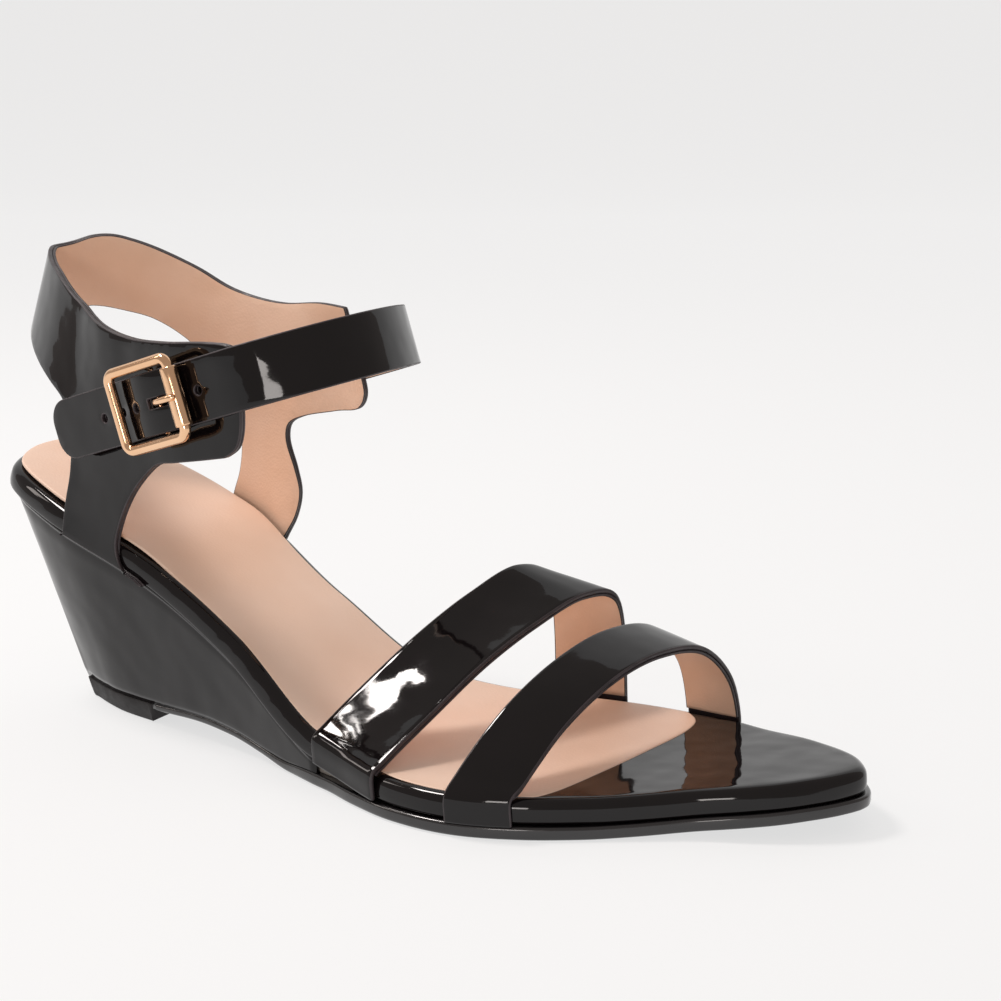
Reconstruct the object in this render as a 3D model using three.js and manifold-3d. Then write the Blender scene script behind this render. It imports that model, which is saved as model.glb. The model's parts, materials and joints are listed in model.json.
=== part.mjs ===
// A right-foot wedge sandal: two straps over the forefoot, a heel loop with a tab on each side,
// and an ankle strap closed by a centre-bar buckle. Millimetres, +X to the toe, +Y to the inner
// (medial) side of the foot, +Z up, ground at z = 0.
import * as THREE from 'three';
import { mergeVertices } from 'three/addons/utils/BufferGeometryUtils.js';
import Module from 'manifold-3d';

const wasm = await Module();
wasm.setup();

// ---------------------------------------------------------------- driving dimensions
const GAP = 0.3;              // clearance between pieces that touch
const LINING_GAP = 0.4;       // clearance between a lining and its leather, which bend together
const SLIVER = 0.05;          // overshoot of a cutting tool
const LENGTH = 243;           // heel back to toe tip of the platform
const BALL_WIDTH = 83;        // scales every width of the platform
const FORE_TOP = 9.3;         // platform top above the ground at the ball
const HEEL_RISE = 57.1;       // how much higher the platform is at the heel back
const TOE_SPRING = 5.2;       // lift of the toe tip off the ground
const BAND_HEIGHT = 6;        // wrapped edge of the platform
const LEATHER = 1.2;          // patent upper leather
const LINING = 0.8;           // lining of straps and heel loop
const WRAP = 1.0;             // patent skin round platform and wedge
const BOARD_THICKNESS = 2.4;
const SOCK_THICKNESS = 1.0;
const SOCK_MARGIN = 2.2;      // patent edge left showing round the sock
const SOCK_PROUD = 0.2;       // sock surface above the patent edge
const PAD_THICKNESS = 1.5;    // foam under the heel of the sock
const OUTSOLE_LEDGE = 1.2;    // outsole standing out past the platform
const SHANK_SOLE = 2;         // outsole thickness under the wedge
const LIFT_HEIGHT = 5.3;      // rubber top piece
const HEEL_LEAN = 0.35;       // forward lean of the wedge's back face
const LEAN_REACH = 95;        // distance from the heel back over which that lean dies away
const SIDE_TAPER = 0.167;     // inward lean of the wedge's side faces
const WEDGE_INSET = 0.4;      // platform edge standing out past the wedge
const BREAST = 53;            // front of the rubber top piece, from the heel back
const HEEL_REST_X = 36;       // origin, at the middle of the top piece
const DRAWN_LENGTH = 243;     // platform length that the straps' feet and sock edge are given for
const DRAWN_WIDTH = 83;       // ball width that the places of screw, nails and pins are given for
const BEYOND = 90;            // reach of a cutting tool past every side of the shoe

// Where features stand along the platform, as shares of its length
const WEDGE_FRONT = 0.54;     // front end of the wedge
const PAD_FRONT = 0.31;
const TREAD_START = 0.444;    // where the outsole reaches the ground
const HEEL_END = 0.17;        // between these two the outline is nearly straight
const TOE_END = 0.8;

// Plan outline: share of length, outer and inner reach as shares of the ball width
const OUTLINE = [
  [0.006, -0.096, 0.133], [0.029, -0.211, 0.223], [0.103, -0.293, 0.349], [0.226, -0.334, 0.323],
  [0.37, -0.378, 0.23], [0.514, -0.469, 0.314], [0.6, -0.548, 0.389], [0.667, -0.554, 0.429],
  [0.733, -0.488, 0.446], [0.811, -0.348, 0.429], [0.864, -0.25, 0.366], [0.914, -0.184, 0.305],
  [0.957, -0.108, 0.226], [0.986, -0.03, 0.146],
];
const HEEL_POINT = [0, 0.024];
const TOE_POINT = [1, 0.06];

// Height curves: share of length, share of the full rise
const RISE = [[0, 1], [0.123, 0.835], [0.247, 0.664], [0.37, 0.394], [0.494, 0.061], [0.617, 0]];
const SPRING = [[0.78, 0], [0.823, 0.1], [0.926, 0.63], [1, 1]];
const ARCH_RISE = 4.2;        // hollow under the wedge, between top piece and ball
const ARCH = [[0.22, 0.86], [0.29, 1], [0.346, 0.8], [0.395, 0.38], [TREAD_START, 0]];

// Straps over the forefoot: feet of the rear and front edges from the heel back, and the
// crest as share of the way across, rise of the rear edge, rise of the front edge
const TOE_STRAP = {
  lateral: [161, 176], medial: [183, 198],
  crest: [[0.05, 5.2, 3.4], [0.22, 16.6, 14.4], [0.42, 24.6, 21.9], [0.62, 28.1, 24.6],
    [0.82, 25.6, 21.9], [0.95, 15.6, 12.1]],
};
const INSTEP_STRAP = {
  lateral: [119, 141], medial: [147, 166],
  crest: [[0.04, 3.2, 3], [0.22, 13.2, 11.8], [0.42, 23.2, 20.9], [0.62, 31.2, 27.3],
    [0.82, 36.4, 31.4], [0.95, 32.6, 28.8]],
};
const STRAP_FOOT_RISE = 0.5;  // height above the platform where a strap leaves its edge

// Front edge of the sock, outer side to inner side, (x, y), the ends standing past the platform
const SOCK_FRONT = [[150, -80], [178, -41], [182, -32], [185.5, -15], [188.5, 4], [190.5, 22], [189, 30],
  [182, 37], [165, 80]];

// Heel loop surface, outer side to inner side: upper point (x, y) and lower point (x, y, z).
// A lower point given by x alone stands on the platform's edge. z counts from the heel seat.
const CUFF_TOP = 61.6;
const CUFF_RUNGS = [
  [100, -33.2, 100, -34, -6.4], [88, -32.8, 88, -33.6, -6.4], [74, -31.6, 74, -32.4, -6.4],
  [62, -29.3, 62], [57, -27.6, 57], [51, -25.8, 51], [45, -23.2, 45], [40, -19.8, 39],
  [35, -16.2, 33], [29, -13.4, 28], [22, -9.3, 17, -20.5, 3.6], [14, -3.5, 5, -13, 8.6],
  [8.5, 1.5, -5, -4.5, 8.6], [6, 5.5, -9.5, 5, 8.6], [7.5, 10.5, -8.5, 13, 8.6],
  [11, 15, -3, 21, 8.6], [16, 19.3, 6, 27, 3.6], [24, 23.8, 18, 30, 3.6], [33, 27, 28],
  [42, 29.3, 38], [52, 30.5, 48], [62, 31, 58], [72, 31.2, 68], [84, 31.2, 84, 30.5, -6.4],
  [96, 31, 96, 30.5, -6.4],
];
// Side outlines that the heel loop is cut to, (x, z from the heel seat), as smooth runs
const CUFF_SPLIT_Y = 4.5;
const LATERAL_CUT = [
  [[93, 39.4], [95.6, 28.6], [96, 19.6], [94.5, 14.6], [91, 11.9]],
  [[91, 11.9], [83, 10.3], [74, 8.6], [67.5, 7.2], [62.5, 3.6], [57, -2.4], [53, -9.4], [51, -16.4],
    [52.5, -21.4], [57, -26.4], [60, -32]],
  [[60, -40], [30, -40]],
  [[31, -30], [31.5, -18], [32, -8.4], [33.4, 1.6], [32.6, 10.6], [29, 18], [22, 22.6], [14, 26.6],
    [6, 30.6], [-2, 35.6], [-20, 38]],
  [[-20, 57], [4, 55.6], [12, 52.9], [19.5, 50.6], [31, 45.4], [43, 40.9], [57, 38.3], [70, 38.5],
    [83, 39.6], [91, 39.8], [93, 39.4]],
];
const MEDIAL_CUT = [
  [[84, 40.8], [88.5, 25.6], [90.3, 17.6], [88.3, 13.9], [81, 12.6], [72, 10.6], [67.5, 8],
    [66.8, 4.1], [69.8, -3.9], [71.3, -10.4], [70, -17.4], [66, -24.9], [63, -32]],
  [[63, -40], [40, -40]],
  [[44, -26], [46.5, -14.4], [49, -7.4], [50, -0.4], [49.7, 5.6], [47.5, 12.6], [43, 18.6],
    [37, 24.6], [30, 30.1], [22, 34.1], [15, 36.1], [5, 37.9], [-2, 35.6], [-20, 35.6]],
  [[-20, 53], [4, 55.6], [10, 57.8], [14, 57.9], [19, 56.4], [26, 53.6], [36, 49.1], [46, 44.1],
    [56, 41.6], [65, 40.8], [76, 41.6], [84, 40.8]],
];

// Ankle strap: it lies in one plane that rises to the front through the buckle
const ANKLE_RISE = THREE.MathUtils.degToRad(18);
const STRAP_WIDTH = 15.6;
const STRAP_THICKNESS = 2.2;  // leather, glue line and lining together
const TAIL_RADIUS = 6;
const BUCKLE_X = 72;
const BUCKLE_Y = -32.0;       // outer face of the tab under the buckle
const BUCKLE_Z = 24.2;        // above the heel seat
const BUCKLE_TURN = THREE.MathUtils.degToRad(6);
// middle of the strap, (along, outward) from the buckle's seat on the tab
const STRAP_AT_BUCKLE = [[-40.5, 0.4], [-26, 1.5], [-15, 2.4], [-10.7, 2.9], [-5.5, 4.2],
  [0, 4.95], [5, 4.0], [10.7, 2.2], [17, 1.5]];
// then round the front of the ankle to its seam on the inner tab, (x, y)
const STRAP_ROUND = [[97, -34.9], [107, -29.5], [114, -21], [117.3, -11], [117.4, -1], [115, 9.5],
  [110.5, 19.5], [103, 28], [93, 32.5], [84, 32.8], [75, 32.8], [66, 32.6]];
const HOLE_RADIUS = 1.1;
const HOLES_U = [-19.5, -11.3, -4.9, 14.6];

// Buckle, in its own frame: u along the strap, v across it, w outward
const FRAME_HALF_LENGTH = 10.7;
const FRAME_HALF_HEIGHT = 9.85;
const FRAME_CORNER = 1.9;
const FRAME_ROD = 1.4;
const FRAME_W = 6.4;
const BAR_ROD = 0.75;
const BAR_W = 2.0;
const BAR_LEG_V = 9.1;
const ROLLER_WALL = 0.5;
const ROLLER_LENGTH = 14.8;
const PRONG_ROD = 0.85;
const PRONG_RING_WALL = 0.5;
const PRONG_RING_WIDTH = 2.4;
const PRONG_ROUTE = [[0.95, 2.55], [2.5, 4.6], [4.2, 7.3], [6.6, 9.1], [10.7, 9.75], [13.2, 9.4]];
const SLOT_U = [0.1, 5.3];    // opening in the strap for the prong
const SLOT_WIDTH = 2.4;
const LOOP_WIDTH = 13;
const LOOP_LEATHER = 0.6;
const LOOP_BACK = 8;

// Steel inside the sole
const SHANK = { from: 38, to: 124, halfWidth: 6, thickness: 1.2, y: 1 };
const RIVETS_X = [52, 104];
const RIVET_RADIUS = 1.6;
const HEAD_SUNK = 0.6;        // heads of screw, nails and rivets below the board's top
const HEAD_OPENING = 4;       // height of the hole over a head, right through the board's top
const SCREW = { x: 30, y: 2, headRadius: 3.6, headHeight: 1.6, radius: 2, length: 26 };
const NAILS = [[23, -12], [23, 16], [46, -15], [46, 18]];
const NAIL = { headRadius: 1.8, headHeight: 0.8, radius: 0.8, length: 18 };
const LIFT_PINS = [[27, 1], [45, -9], [45, 11]];
const LIFT_PIN = { radius: 1.4, bottom: 2.4, top: 16 };

// ---------------------------------------------------------------- small maths
const seat = FORE_TOP + HEEL_RISE;
const lengthScale = LENGTH / DRAWN_LENGTH;
const widthScale = BALL_WIDTH / DRAWN_WIDTH;
const acrossShoe = ([x, y]) => [x, y * widthScale];

// Monotone curve through [x, value] rows, flat outside them.
function curveAt(rows, x) {
  const last = rows.length - 1;
  if (x <= rows[0][0]) return rows[0][1];
  if (x >= rows[last][0]) return rows[last][1];
  const secant = (i) => (rows[i + 1][1] - rows[i][1]) / (rows[i + 1][0] - rows[i][0]);
  const slope = (i) => {
    if (i === 0 || i === last) return 0;
    const before = secant(i - 1);
    const after = secant(i);
    return before * after <= 0 ? 0 : (2 * before * after) / (before + after);
  };
  let i = 0;
  while (rows[i + 1][0] < x) i += 1;
  const span = rows[i + 1][0] - rows[i][0];
  const t = (x - rows[i][0]) / span;
  const t2 = t * t;
  const t3 = t2 * t;
  return (2 * t3 - 3 * t2 + 1) * rows[i][1] + (t3 - 2 * t2 + t) * span * slope(i)
    + (3 * t2 - 2 * t3) * rows[i + 1][1] + (t3 - t2) * span * slope(i + 1);
}

// Heights above the ground at a distance x from the heel back
const RISE_ROWS = [[-0.2, 1.19], ...RISE, [0.75, 0]];
const springAt = (x) => TOE_SPRING * curveAt(SPRING, x / LENGTH);
const platformTop = (x) => FORE_TOP + HEEL_RISE * curveAt(RISE_ROWS, x / LENGTH) + springAt(x);
const bandBottom = (x) => platformTop(x) - BAND_HEIGHT;
const padRise = (x) => PAD_THICKNESS * curveAt([[PAD_FRONT - 0.08, 1], [PAD_FRONT, 0]], x / LENGTH);
const archAt = (x) => (x > TREAD_START * LENGTH ? 0 : ARCH_RISE * curveAt(ARCH, x / LENGTH));
const treadBottom = (x) => archAt(x) + springAt(x);
const foreSole = FORE_TOP - BAND_HEIGHT - GAP;
const soleThickness = (x) => curveAt([[0.4, SHANK_SOLE], [0.48, foreSole]], x / LENGTH);
const wedgeEnd = WEDGE_FRONT * LENGTH;
const foreSoleTop = (x) => bandBottom(x) - GAP;
const shankSoleTop = (x) => treadBottom(x) + soleThickness(x);
const wedgeTop = (x) => bandBottom(x) - GAP;
const wedgeBottom = (x) => (x < BREAST + GAP ? LIFT_HEIGHT : shankSoleTop(x)) + GAP;

// ---------------------------------------------------------------- plan outline
const planPoint = ([along, across]) => new THREE.Vector3(along * LENGTH, across * BALL_WIDTH, 0);
const outlinePoints = [
  planPoint(HEEL_POINT),
  ...OUTLINE.map(([along, outer]) => planPoint([along, outer])),
  planPoint(TOE_POINT),
  ...OUTLINE.map(([along, , inner]) => planPoint([along, inner])).reverse(),
];
const outlineCurve = new THREE.CatmullRomCurve3(outlinePoints, true, 'centripetal');

// Curve parameter of the outline at x, on the outer (side 0) or inner (side 1) half.
function outlineParameter(x, side) {
  let low = side === 0 ? 0 : 1;
  let high = 0.5;
  for (let i = 0; i < 40; i += 1) {
    const middle = (low + high) / 2;
    if (outlineCurve.getPoint(middle % 1).x < x) low = middle;
    else high = middle;
  }
  return (low + high) / 2;
}

// Point on the outline at x, moved inward by inset (outward when negative).
function edgePoint(x, side, inset = 0) {
  const t = outlineParameter(x, side) % 1;
  const point = outlineCurve.getPoint(t);
  const tangent = outlineCurve.getTangent(t);
  const outward = new THREE.Vector3(tangent.y, -tangent.x, 0).multiplyScalar(-1).normalize();
  const centre = new THREE.Vector3(LENGTH / 2, planPoint(HEEL_POINT).y, 0);
  if (outward.dot(point.clone().sub(centre)) < 0) outward.multiplyScalar(-1);
  return { point: point.addScaledVector(outward, -inset), outward };
}

// Stations between two distances, closer together where an end is rounded.
function stations(from, to, count, roundFrom, roundTo) {
  const list = [];
  for (let i = 0; i <= count; i += 1) {
    let t = i / count;
    if (roundFrom && roundTo) t = (1 - Math.cos(Math.PI * t)) / 2;
    else if (roundFrom) t = 1 - Math.cos((Math.PI / 2) * t);
    else if (roundTo) t = Math.sin((Math.PI / 2) * t);
    list.push(from + (to - from) * t);
  }
  return list;
}

// Stations over the whole platform, closer together at heel and toe.
const wholeStations = [
  ...stations(0, LENGTH * HEEL_END, 9, true, false),
  ...stations(LENGTH * HEEL_END, LENGTH * TOE_END, 22, false, false).slice(1, -1),
  ...stations(LENGTH * TOE_END, LENGTH, 8, false, true),
];

// ---------------------------------------------------------------- solids
function geometryOf(points, triangles) {
  const geometry = new THREE.BufferGeometry();
  const positions = new Float32Array(points.length * 3);
  points.forEach((p, i) => positions.set([p.x, p.y, p.z], i * 3));
  geometry.setAttribute('position', new THREE.BufferAttribute(positions, 3));
  geometry.setIndex(triangles.flat());
  return tidy(geometry);
}

// Merged vertices, no empty triangles, faces pointing out.
function tidy(source) {
  const bare = source.clone();
  for (const name of Object.keys(bare.attributes)) {
    if (name !== 'position') bare.deleteAttribute(name);
  }
  const merged = mergeVertices(bare, 1e-4);
  const index = merged.getIndex();
  const position = merged.getAttribute('position');
  const corner = (i) => new THREE.Vector3().fromBufferAttribute(position, i);
  const kept = [];
  let volume = 0;
  for (let i = 0; i < index.count; i += 3) {
    const [a, b, c] = [index.getX(i), index.getX(i + 1), index.getX(i + 2)];
    if (a === b || b === c || a === c) continue;
    kept.push([a, b, c]);
    volume += corner(a).dot(corner(b).cross(corner(c)));
  }
  merged.setIndex(kept.flatMap(([a, b, c]) => (volume < 0 ? [a, c, b] : [a, b, c])));
  return merged;
}

// Two triangles over four corners, split along the shorter diagonal.
function quad(points, [a, b, c, d]) {
  const short = points[a].distanceTo(points[c]) <= points[b].distanceTo(points[d]);
  return short ? [[a, b, c], [a, c, d]] : [[a, b, d], [b, c, d]];
}

// Skin over a row of sections, each with the same even number of corners; the ends are capped
// by strips from one half of the section to the other.
function loft(sections, ring = false) {
  const size = sections[0].length;
  const points = sections.flat();
  const triangles = [];
  const rows = ring ? sections.length : sections.length - 1;
  for (let i = 0; i < rows; i += 1) {
    const here = i * size;
    const next = ((i + 1) % sections.length) * size;
    for (let j = 0; j < size; j += 1) {
      const k = (j + 1) % size;
      const corners = [here + j, next + j, next + k, here + k];
      triangles.push(...quad(points, corners));
    }
  }
  if (!ring) {
    const end = (sections.length - 1) * size;
    for (let j = 0; j < size / 2 - 1; j += 1) {
      const corners = [j, j + 1, size - 2 - j, size - 1 - j];
      triangles.push(...quad(points, corners));
      triangles.push(...quad(points, corners.map((i) => end + i).reverse()));
    }
  }
  return geometryOf(points, triangles);
}

// A sheet from a grid of surface points: offset and thickness go inward from the surface.
// Only the grid's rows from first to last are kept.
function sheet(grid, offset, thickness, first = 0, last = grid.length - 1) {
  const rows = grid.length;
  const columns = grid[0].length;
  const side = (depth) => grid.map((row, i) => row.map((p, j) => {
    const alongRow = grid[Math.min(i + 1, rows - 1)][j].clone().sub(grid[Math.max(i - 1, 0)][j]);
    const across = row[Math.min(j + 1, columns - 1)].clone().sub(row[Math.max(j - 1, 0)]);
    return p.clone().addScaledVector(alongRow.cross(across).normalize(), depth);
  })).slice(first, last + 1);
  const outer = side(offset);
  const inner = side(offset + thickness);
  const sections = outer.map((row, i) => [...row, ...[...inner[i]].reverse()]);
  return loft(sections);
}

// Solid between two height curves over the platform outline.
function slab(xs, inset, bottom, top) {
  return loft(xs.map((x) => {
    const outer = edgePoint(x, 0, inset).point;
    const inner = edgePoint(x, 1, inset).point;
    const at = (p, height) => new THREE.Vector3(p.x, p.y, height(p.x));
    return [at(outer, bottom), at(inner, bottom), at(inner, top), at(outer, top)];
  }));
}

// Rod of round section along a path.
function rod(path, radius, steps, halfSides) {
  const shape = new THREE.Shape().absarc(0, 0, radius, 0, Math.PI * 2);
  const settings = { extrudePath: path, steps, curveSegments: halfSides };
  return tidy(new THREE.ExtrudeGeometry(shape, settings));
}

// Body of revolution about Z from [radius, z] corners that close on themselves.
function turned(profile, segments = 10) {
  const points = profile.map(([r, z]) => new THREE.Vector2(r, z));
  const geometry = new THREE.LatheGeometry([...points, points[0]], segments);
  return tidy(geometry.rotateX(Math.PI / 2));
}

function box(low, high) {
  const size = high.clone().sub(low);
  const geometry = new THREE.BoxGeometry(size.x, size.y, size.z);
  return geometry.translate(...low.clone().add(high).multiplyScalar(0.5).toArray());
}

function manifoldOf(geometry) {
  const clean = tidy(geometry);
  const mesh = new wasm.Mesh({
    numProp: 3,
    vertProperties: new Float32Array(clean.getAttribute('position').array),
    triVerts: new Uint32Array(clean.getIndex().array),
  });
  return new wasm.Manifold(mesh);
}

function geometryFrom(manifold) {
  const mesh = manifold.getMesh();
  const geometry = new THREE.BufferGeometry();
  geometry.setAttribute('position', new THREE.BufferAttribute(new Float32Array(mesh.vertProperties), 3));
  geometry.setIndex(new THREE.BufferAttribute(new Uint32Array(mesh.triVerts), 1));
  return geometry;
}

const cut = (body, ...tools) => geometryFrom(
  tools.reduce((left, tool) => left.subtract(manifoldOf(tool)), manifoldOf(body)),
);
const common = (body, other) => geometryFrom(manifoldOf(body).intersect(manifoldOf(other)));
const joined = (first, ...others) => geometryFrom(
  others.reduce((left, other) => left.add(manifoldOf(other)), manifoldOf(first)),
);

// ---------------------------------------------------------------- the assembly
const sandal = new THREE.Group();
sandal.name = 'wedge_sandal';
sandal.position.x = -HEEL_REST_X;

const FINISH = {
  patent: { color: 0x121113, roughness: 0.12, metalness: 0 },
  tan: { color: 0xdcbca4, roughness: 0.65, metalness: 0 },
  rubber: { color: 0x1c1b1c, roughness: 0.8, metalness: 0 },
  sole: { color: 0x19181a, roughness: 0.45, metalness: 0 },
  gold: { color: 0xe9c09c, roughness: 0.15, metalness: 1 },
  steel: { color: 0xb9bcc0, roughness: 0.35, metalness: 1 },
  board: { color: 0xa98a63, roughness: 0.9, metalness: 0 },
  foam: { color: 0xe6dccb, roughness: 0.95, metalness: 0 },
  core: { color: 0x8d8a84, roughness: 0.6, metalness: 0 },
};

function add(parent, name, geometry, finish) {
  const mesh = new THREE.Mesh(geometry, new THREE.MeshStandardMaterial(FINISH[finish]));
  mesh.name = name;
  parent.add(mesh);
  return mesh;
}

// ---- pins set square to the platform's surface
function squareTo(x, y, geometry, depth) {
  const slope = (platformTop(x + 1) - platformTop(x - 1)) / 2;
  geometry.rotateY(-Math.atan(slope));
  return geometry.translate(x, y, platformTop(x) - depth);
}
const pinProfile = (radius, from, to) => [[0, from], [radius, from], [radius, to], [0, to]];
// With a clearance it is the hole for the pin, open above the head.
function headedPin(size, clearance) {
  const stem = -size.length - clearance;
  const under = -size.headHeight - clearance;
  const top = clearance > 0 ? HEAD_OPENING : 0;
  return turned([
    [0, stem], [size.radius + clearance, stem], [size.radius + clearance, under],
    [size.headRadius + clearance, under], [size.headRadius + clearance, top], [0, top],
  ]);
}
const boardTopDepth = WRAP + GAP;
const boardBottomDepth = boardTopDepth + BOARD_THICKNESS;
const fillerTopDepth = boardBottomDepth + GAP;
const headDepth = boardTopDepth + HEAD_SUNK;
function headedPinAt(x, y, size, clearance = 0) {
  return squareTo(x, y, headedPin(size, clearance), headDepth);
}
const rivetLength = BAND_HEIGHT - headDepth - 3 * GAP;
const RIVET = { headRadius: RIVET_RADIUS * 1.7, headHeight: 0.7, radius: RIVET_RADIUS, length: rivetLength };

const pins = [
  ['heel_screw', SCREW.x, SCREW.y, SCREW],
  ...NAILS.map(acrossShoe).map(([x, y], i) => [`heel_nail_${i + 1}`, x, y, NAIL]),
  ...RIVETS_X.map((x, i) => [`shank_rivet_${i + 1}`, x, SHANK.y, RIVET]),
];
const pinHoles = pins.map(([, x, y, size]) => headedPinAt(x, y, size, GAP));
const boardPins = 1 + NAILS.length;
const liftPins = LIFT_PINS.map(acrossShoe);

// ---- steel shank under the board, let into the filler, and into the wedge where the band is thin
const shankTop = fillerTopDepth + GAP;
const shankBottom = shankTop + SHANK.thickness;
function shankLoft(grow, low, high) {
  return loft(stations(SHANK.from - grow, SHANK.to + grow, 14, false, false).map((x) => {
    const half = SHANK.halfWidth + grow;
    const z = platformTop(x);
    return [[-half, low], [half, low], [half, high], [-half, high]]
      .map(([dy, depth]) => new THREE.Vector3(x, SHANK.y + dy, z - depth));
  }));
}
const shankSeat = shankLoft(GAP, shankBottom + GAP, fillerTopDepth - 1);

// ---- sole unit
function soleUnit() {
  const unit = new THREE.Group();
  const whole = wholeStations;

  const shank = shankLoft(0, shankBottom, shankTop);
  const shankPocket = shankLoft(GAP, Math.max(BAND_HEIGHT, shankBottom) + 1, fillerTopDepth - 1);
  const rivetHoles = pinHoles.slice(boardPins);
  add(unit, 'shank', cut(shank, ...rivetHoles), 'steel');

  const below = (depth) => (x) => platformTop(x) - depth;
  const board = slab(whole, WRAP + GAP, below(boardBottomDepth), below(boardTopDepth));
  add(unit, 'insole_board', cut(board, ...pinHoles), 'board');
  const filler = slab(whole, WRAP + GAP, below(BAND_HEIGHT), below(fillerTopDepth));
  add(unit, 'platform_filler', cut(filler, shankPocket, ...pinHoles.slice(0, boardPins)), 'foam');

  // patent cover: edge band all round, and the whole top in front of the sock
  const outer = slab(whole, 0, below(BAND_HEIGHT), below(0));
  const underTop = slab(whole, WRAP, below(BAND_HEIGHT + 5), below(WRAP));
  const sockWindow = common(
    slab(whole, SOCK_MARGIN, below(WRAP + 2), below(-5)),
    sockCutter(0, WRAP + 3, 6),
  );
  add(unit, 'platform_cover', cut(outer, underTop, sockWindow), 'patent');

  const sockTop = (x) => platformTop(x) + SOCK_PROUD + padRise(x);
  const sockBottom = (x) => sockTop(x) - SOCK_THICKNESS;
  const sock = common(
    slab(whole, SOCK_MARGIN + GAP, sockBottom, sockTop),
    sockCutter(GAP, WRAP + 3, 6),
  );
  add(unit, 'sock', sock, 'tan');
  const padStations = stations(0, PAD_FRONT * LENGTH - 9, 26, true, false);
  const pad = slab(padStations, SOCK_MARGIN + 3, below(boardTopDepth - GAP), (x) => sockBottom(x) - GAP);
  add(unit, 'heel_pad', pad, 'foam');

  const soleStations = [
    ...stations(BREAST + GAP, wedgeEnd, 20, false, false),
    ...stations(wedgeEnd + GAP, LENGTH, 28, false, true),
  ];
  const soleInset = (x) => curveAt([[0.3, 1.2], [0.56, -OUTSOLE_LEDGE]], x / LENGTH);
  const outsole = loft(soleStations.map((x) => {
    const lean = x < wedgeEnd ? SIDE_TAPER * (wedgeTop(x) - treadBottom(x)) : 0;
    const row = [0, 1].map((side) => edgePoint(x, side, soleInset(x) + lean).point);
    const at = (p, height) => new THREE.Vector3(p.x, p.y, height(p.x));
    const top = x > wedgeEnd ? foreSoleTop : shankSoleTop;
    return [at(row[0], treadBottom), at(row[1], treadBottom), at(row[1], top), at(row[0], top)];
  }));
  const inFront = box(
    new THREE.Vector3(BREAST + GAP, -BEYOND, -BEYOND),
    new THREE.Vector3(LENGTH + BEYOND, BEYOND, BEYOND),
  );
  add(unit, 'outsole', common(outsole, inFront), 'sole');
  return unit;
}

// Region of the sock, up to its curved front edge, as a tall prism.
function sockCutter(inset, down, up) {
  const front = SOCK_FRONT;
  const shape = new THREE.Shape();
  shape.moveTo(-20, -80);
  shape.lineTo(front[0][0] * lengthScale - inset, front[0][1]);
  shape.lineTo(front[1][0] * lengthScale - inset, front[1][1]);
  shape.splineThru(front.slice(2, -1).map(([x, y]) => new THREE.Vector2(x * lengthScale - inset, y)));
  shape.lineTo(front.at(-1)[0] * lengthScale - inset, 80);
  shape.lineTo(-20, 80);
  const depth = seat + up + down + 20;
  const settings = { depth, bevelEnabled: false, curveSegments: 5 };
  return new THREE.ExtrudeGeometry(shape, settings).translate(0, 0, -10);
}

// ---- wedge heel
// Its walls lean in from the platform; the solid runs from rise above the wedge's top down to floor.
function wedgeLoft(xs, inset, rise, floor) {
  return loft(xs.map((x) => {
    const ends = [0, 1].map((side) => {
      const { point, outward } = edgePoint(x, side, inset);
      const anchor = new THREE.Vector3(point.x, point.y, wedgeTop(point.x));
      const forward = HEEL_LEAN * Math.max(0, 1 - x / LEAN_REACH);
      const lean = new THREE.Vector3(forward, -SIDE_TAPER * outward.y, -1);
      const high = anchor.clone().addScaledVector(lean, -rise);
      const low = anchor.clone().addScaledVector(lean, anchor.z - floor);
      return [high, low];
    });
    return [ends[0][1], ends[1][1], ends[1][0], ends[0][0]];
  }));
}

function heelUnit() {
  const unit = new THREE.Group();
  const xs = [...stations(0, wedgeEnd * 0.5, 12, true, false),
    ...stations(wedgeEnd * 0.5, wedgeEnd, 12, false, false).slice(1)];
  const coreInset = WEDGE_INSET + WRAP + GAP;
  // the wedge is cut from below by the outsole and the top piece
  const under = underCutter();
  const solidCore = wedgeLoft(xs, coreInset, 0, 0);
  const liftHoles = liftPins.map(([x, y]) => turned(
    pinProfile(LIFT_PIN.radius + GAP, 0, LIFT_PIN.top + GAP),
  ).translate(x, y, 0));
  const heelHoles = pinHoles.slice(0, boardPins);
  add(unit, 'wedge_core', cut(solidCore, under, shankSeat, ...liftHoles, ...heelHoles), 'core');

  const skin = wedgeLoft(xs, WEDGE_INSET, 0, 0);
  const room = wedgeLoft([...xs, wedgeEnd + 3], coreInset - GAP, SLIVER, -SLIVER);
  add(unit, 'wedge_cover', cut(skin, room, under), 'patent');

  const low = new THREE.Vector3(-BEYOND, -BEYOND, 0);
  const high = new THREE.Vector3(BREAST, BEYOND, LIFT_HEIGHT);
  const block = common(wedgeLoft(xs, WEDGE_INSET, 0, -1), box(low, high));
  const blind = liftPins.map(([x, y]) => turned(
    pinProfile(LIFT_PIN.radius + GAP, LIFT_PIN.bottom - GAP, LIFT_HEIGHT + 1),
  ).translate(x, y, 0));
  add(unit, 'top_piece', cut(block, ...blind), 'rubber');
  liftPins.forEach(([x, y], i) => {
    const pin = turned(pinProfile(LIFT_PIN.radius, LIFT_PIN.bottom, LIFT_PIN.top));
    add(unit, `top_piece_pin_${i + 1}`, pin.translate(x, y, 0), 'steel');
  });
  pins.forEach(([name, x, y, size]) => add(unit, name, headedPinAt(x, y, size), 'steel'));
  return unit;
}

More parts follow.
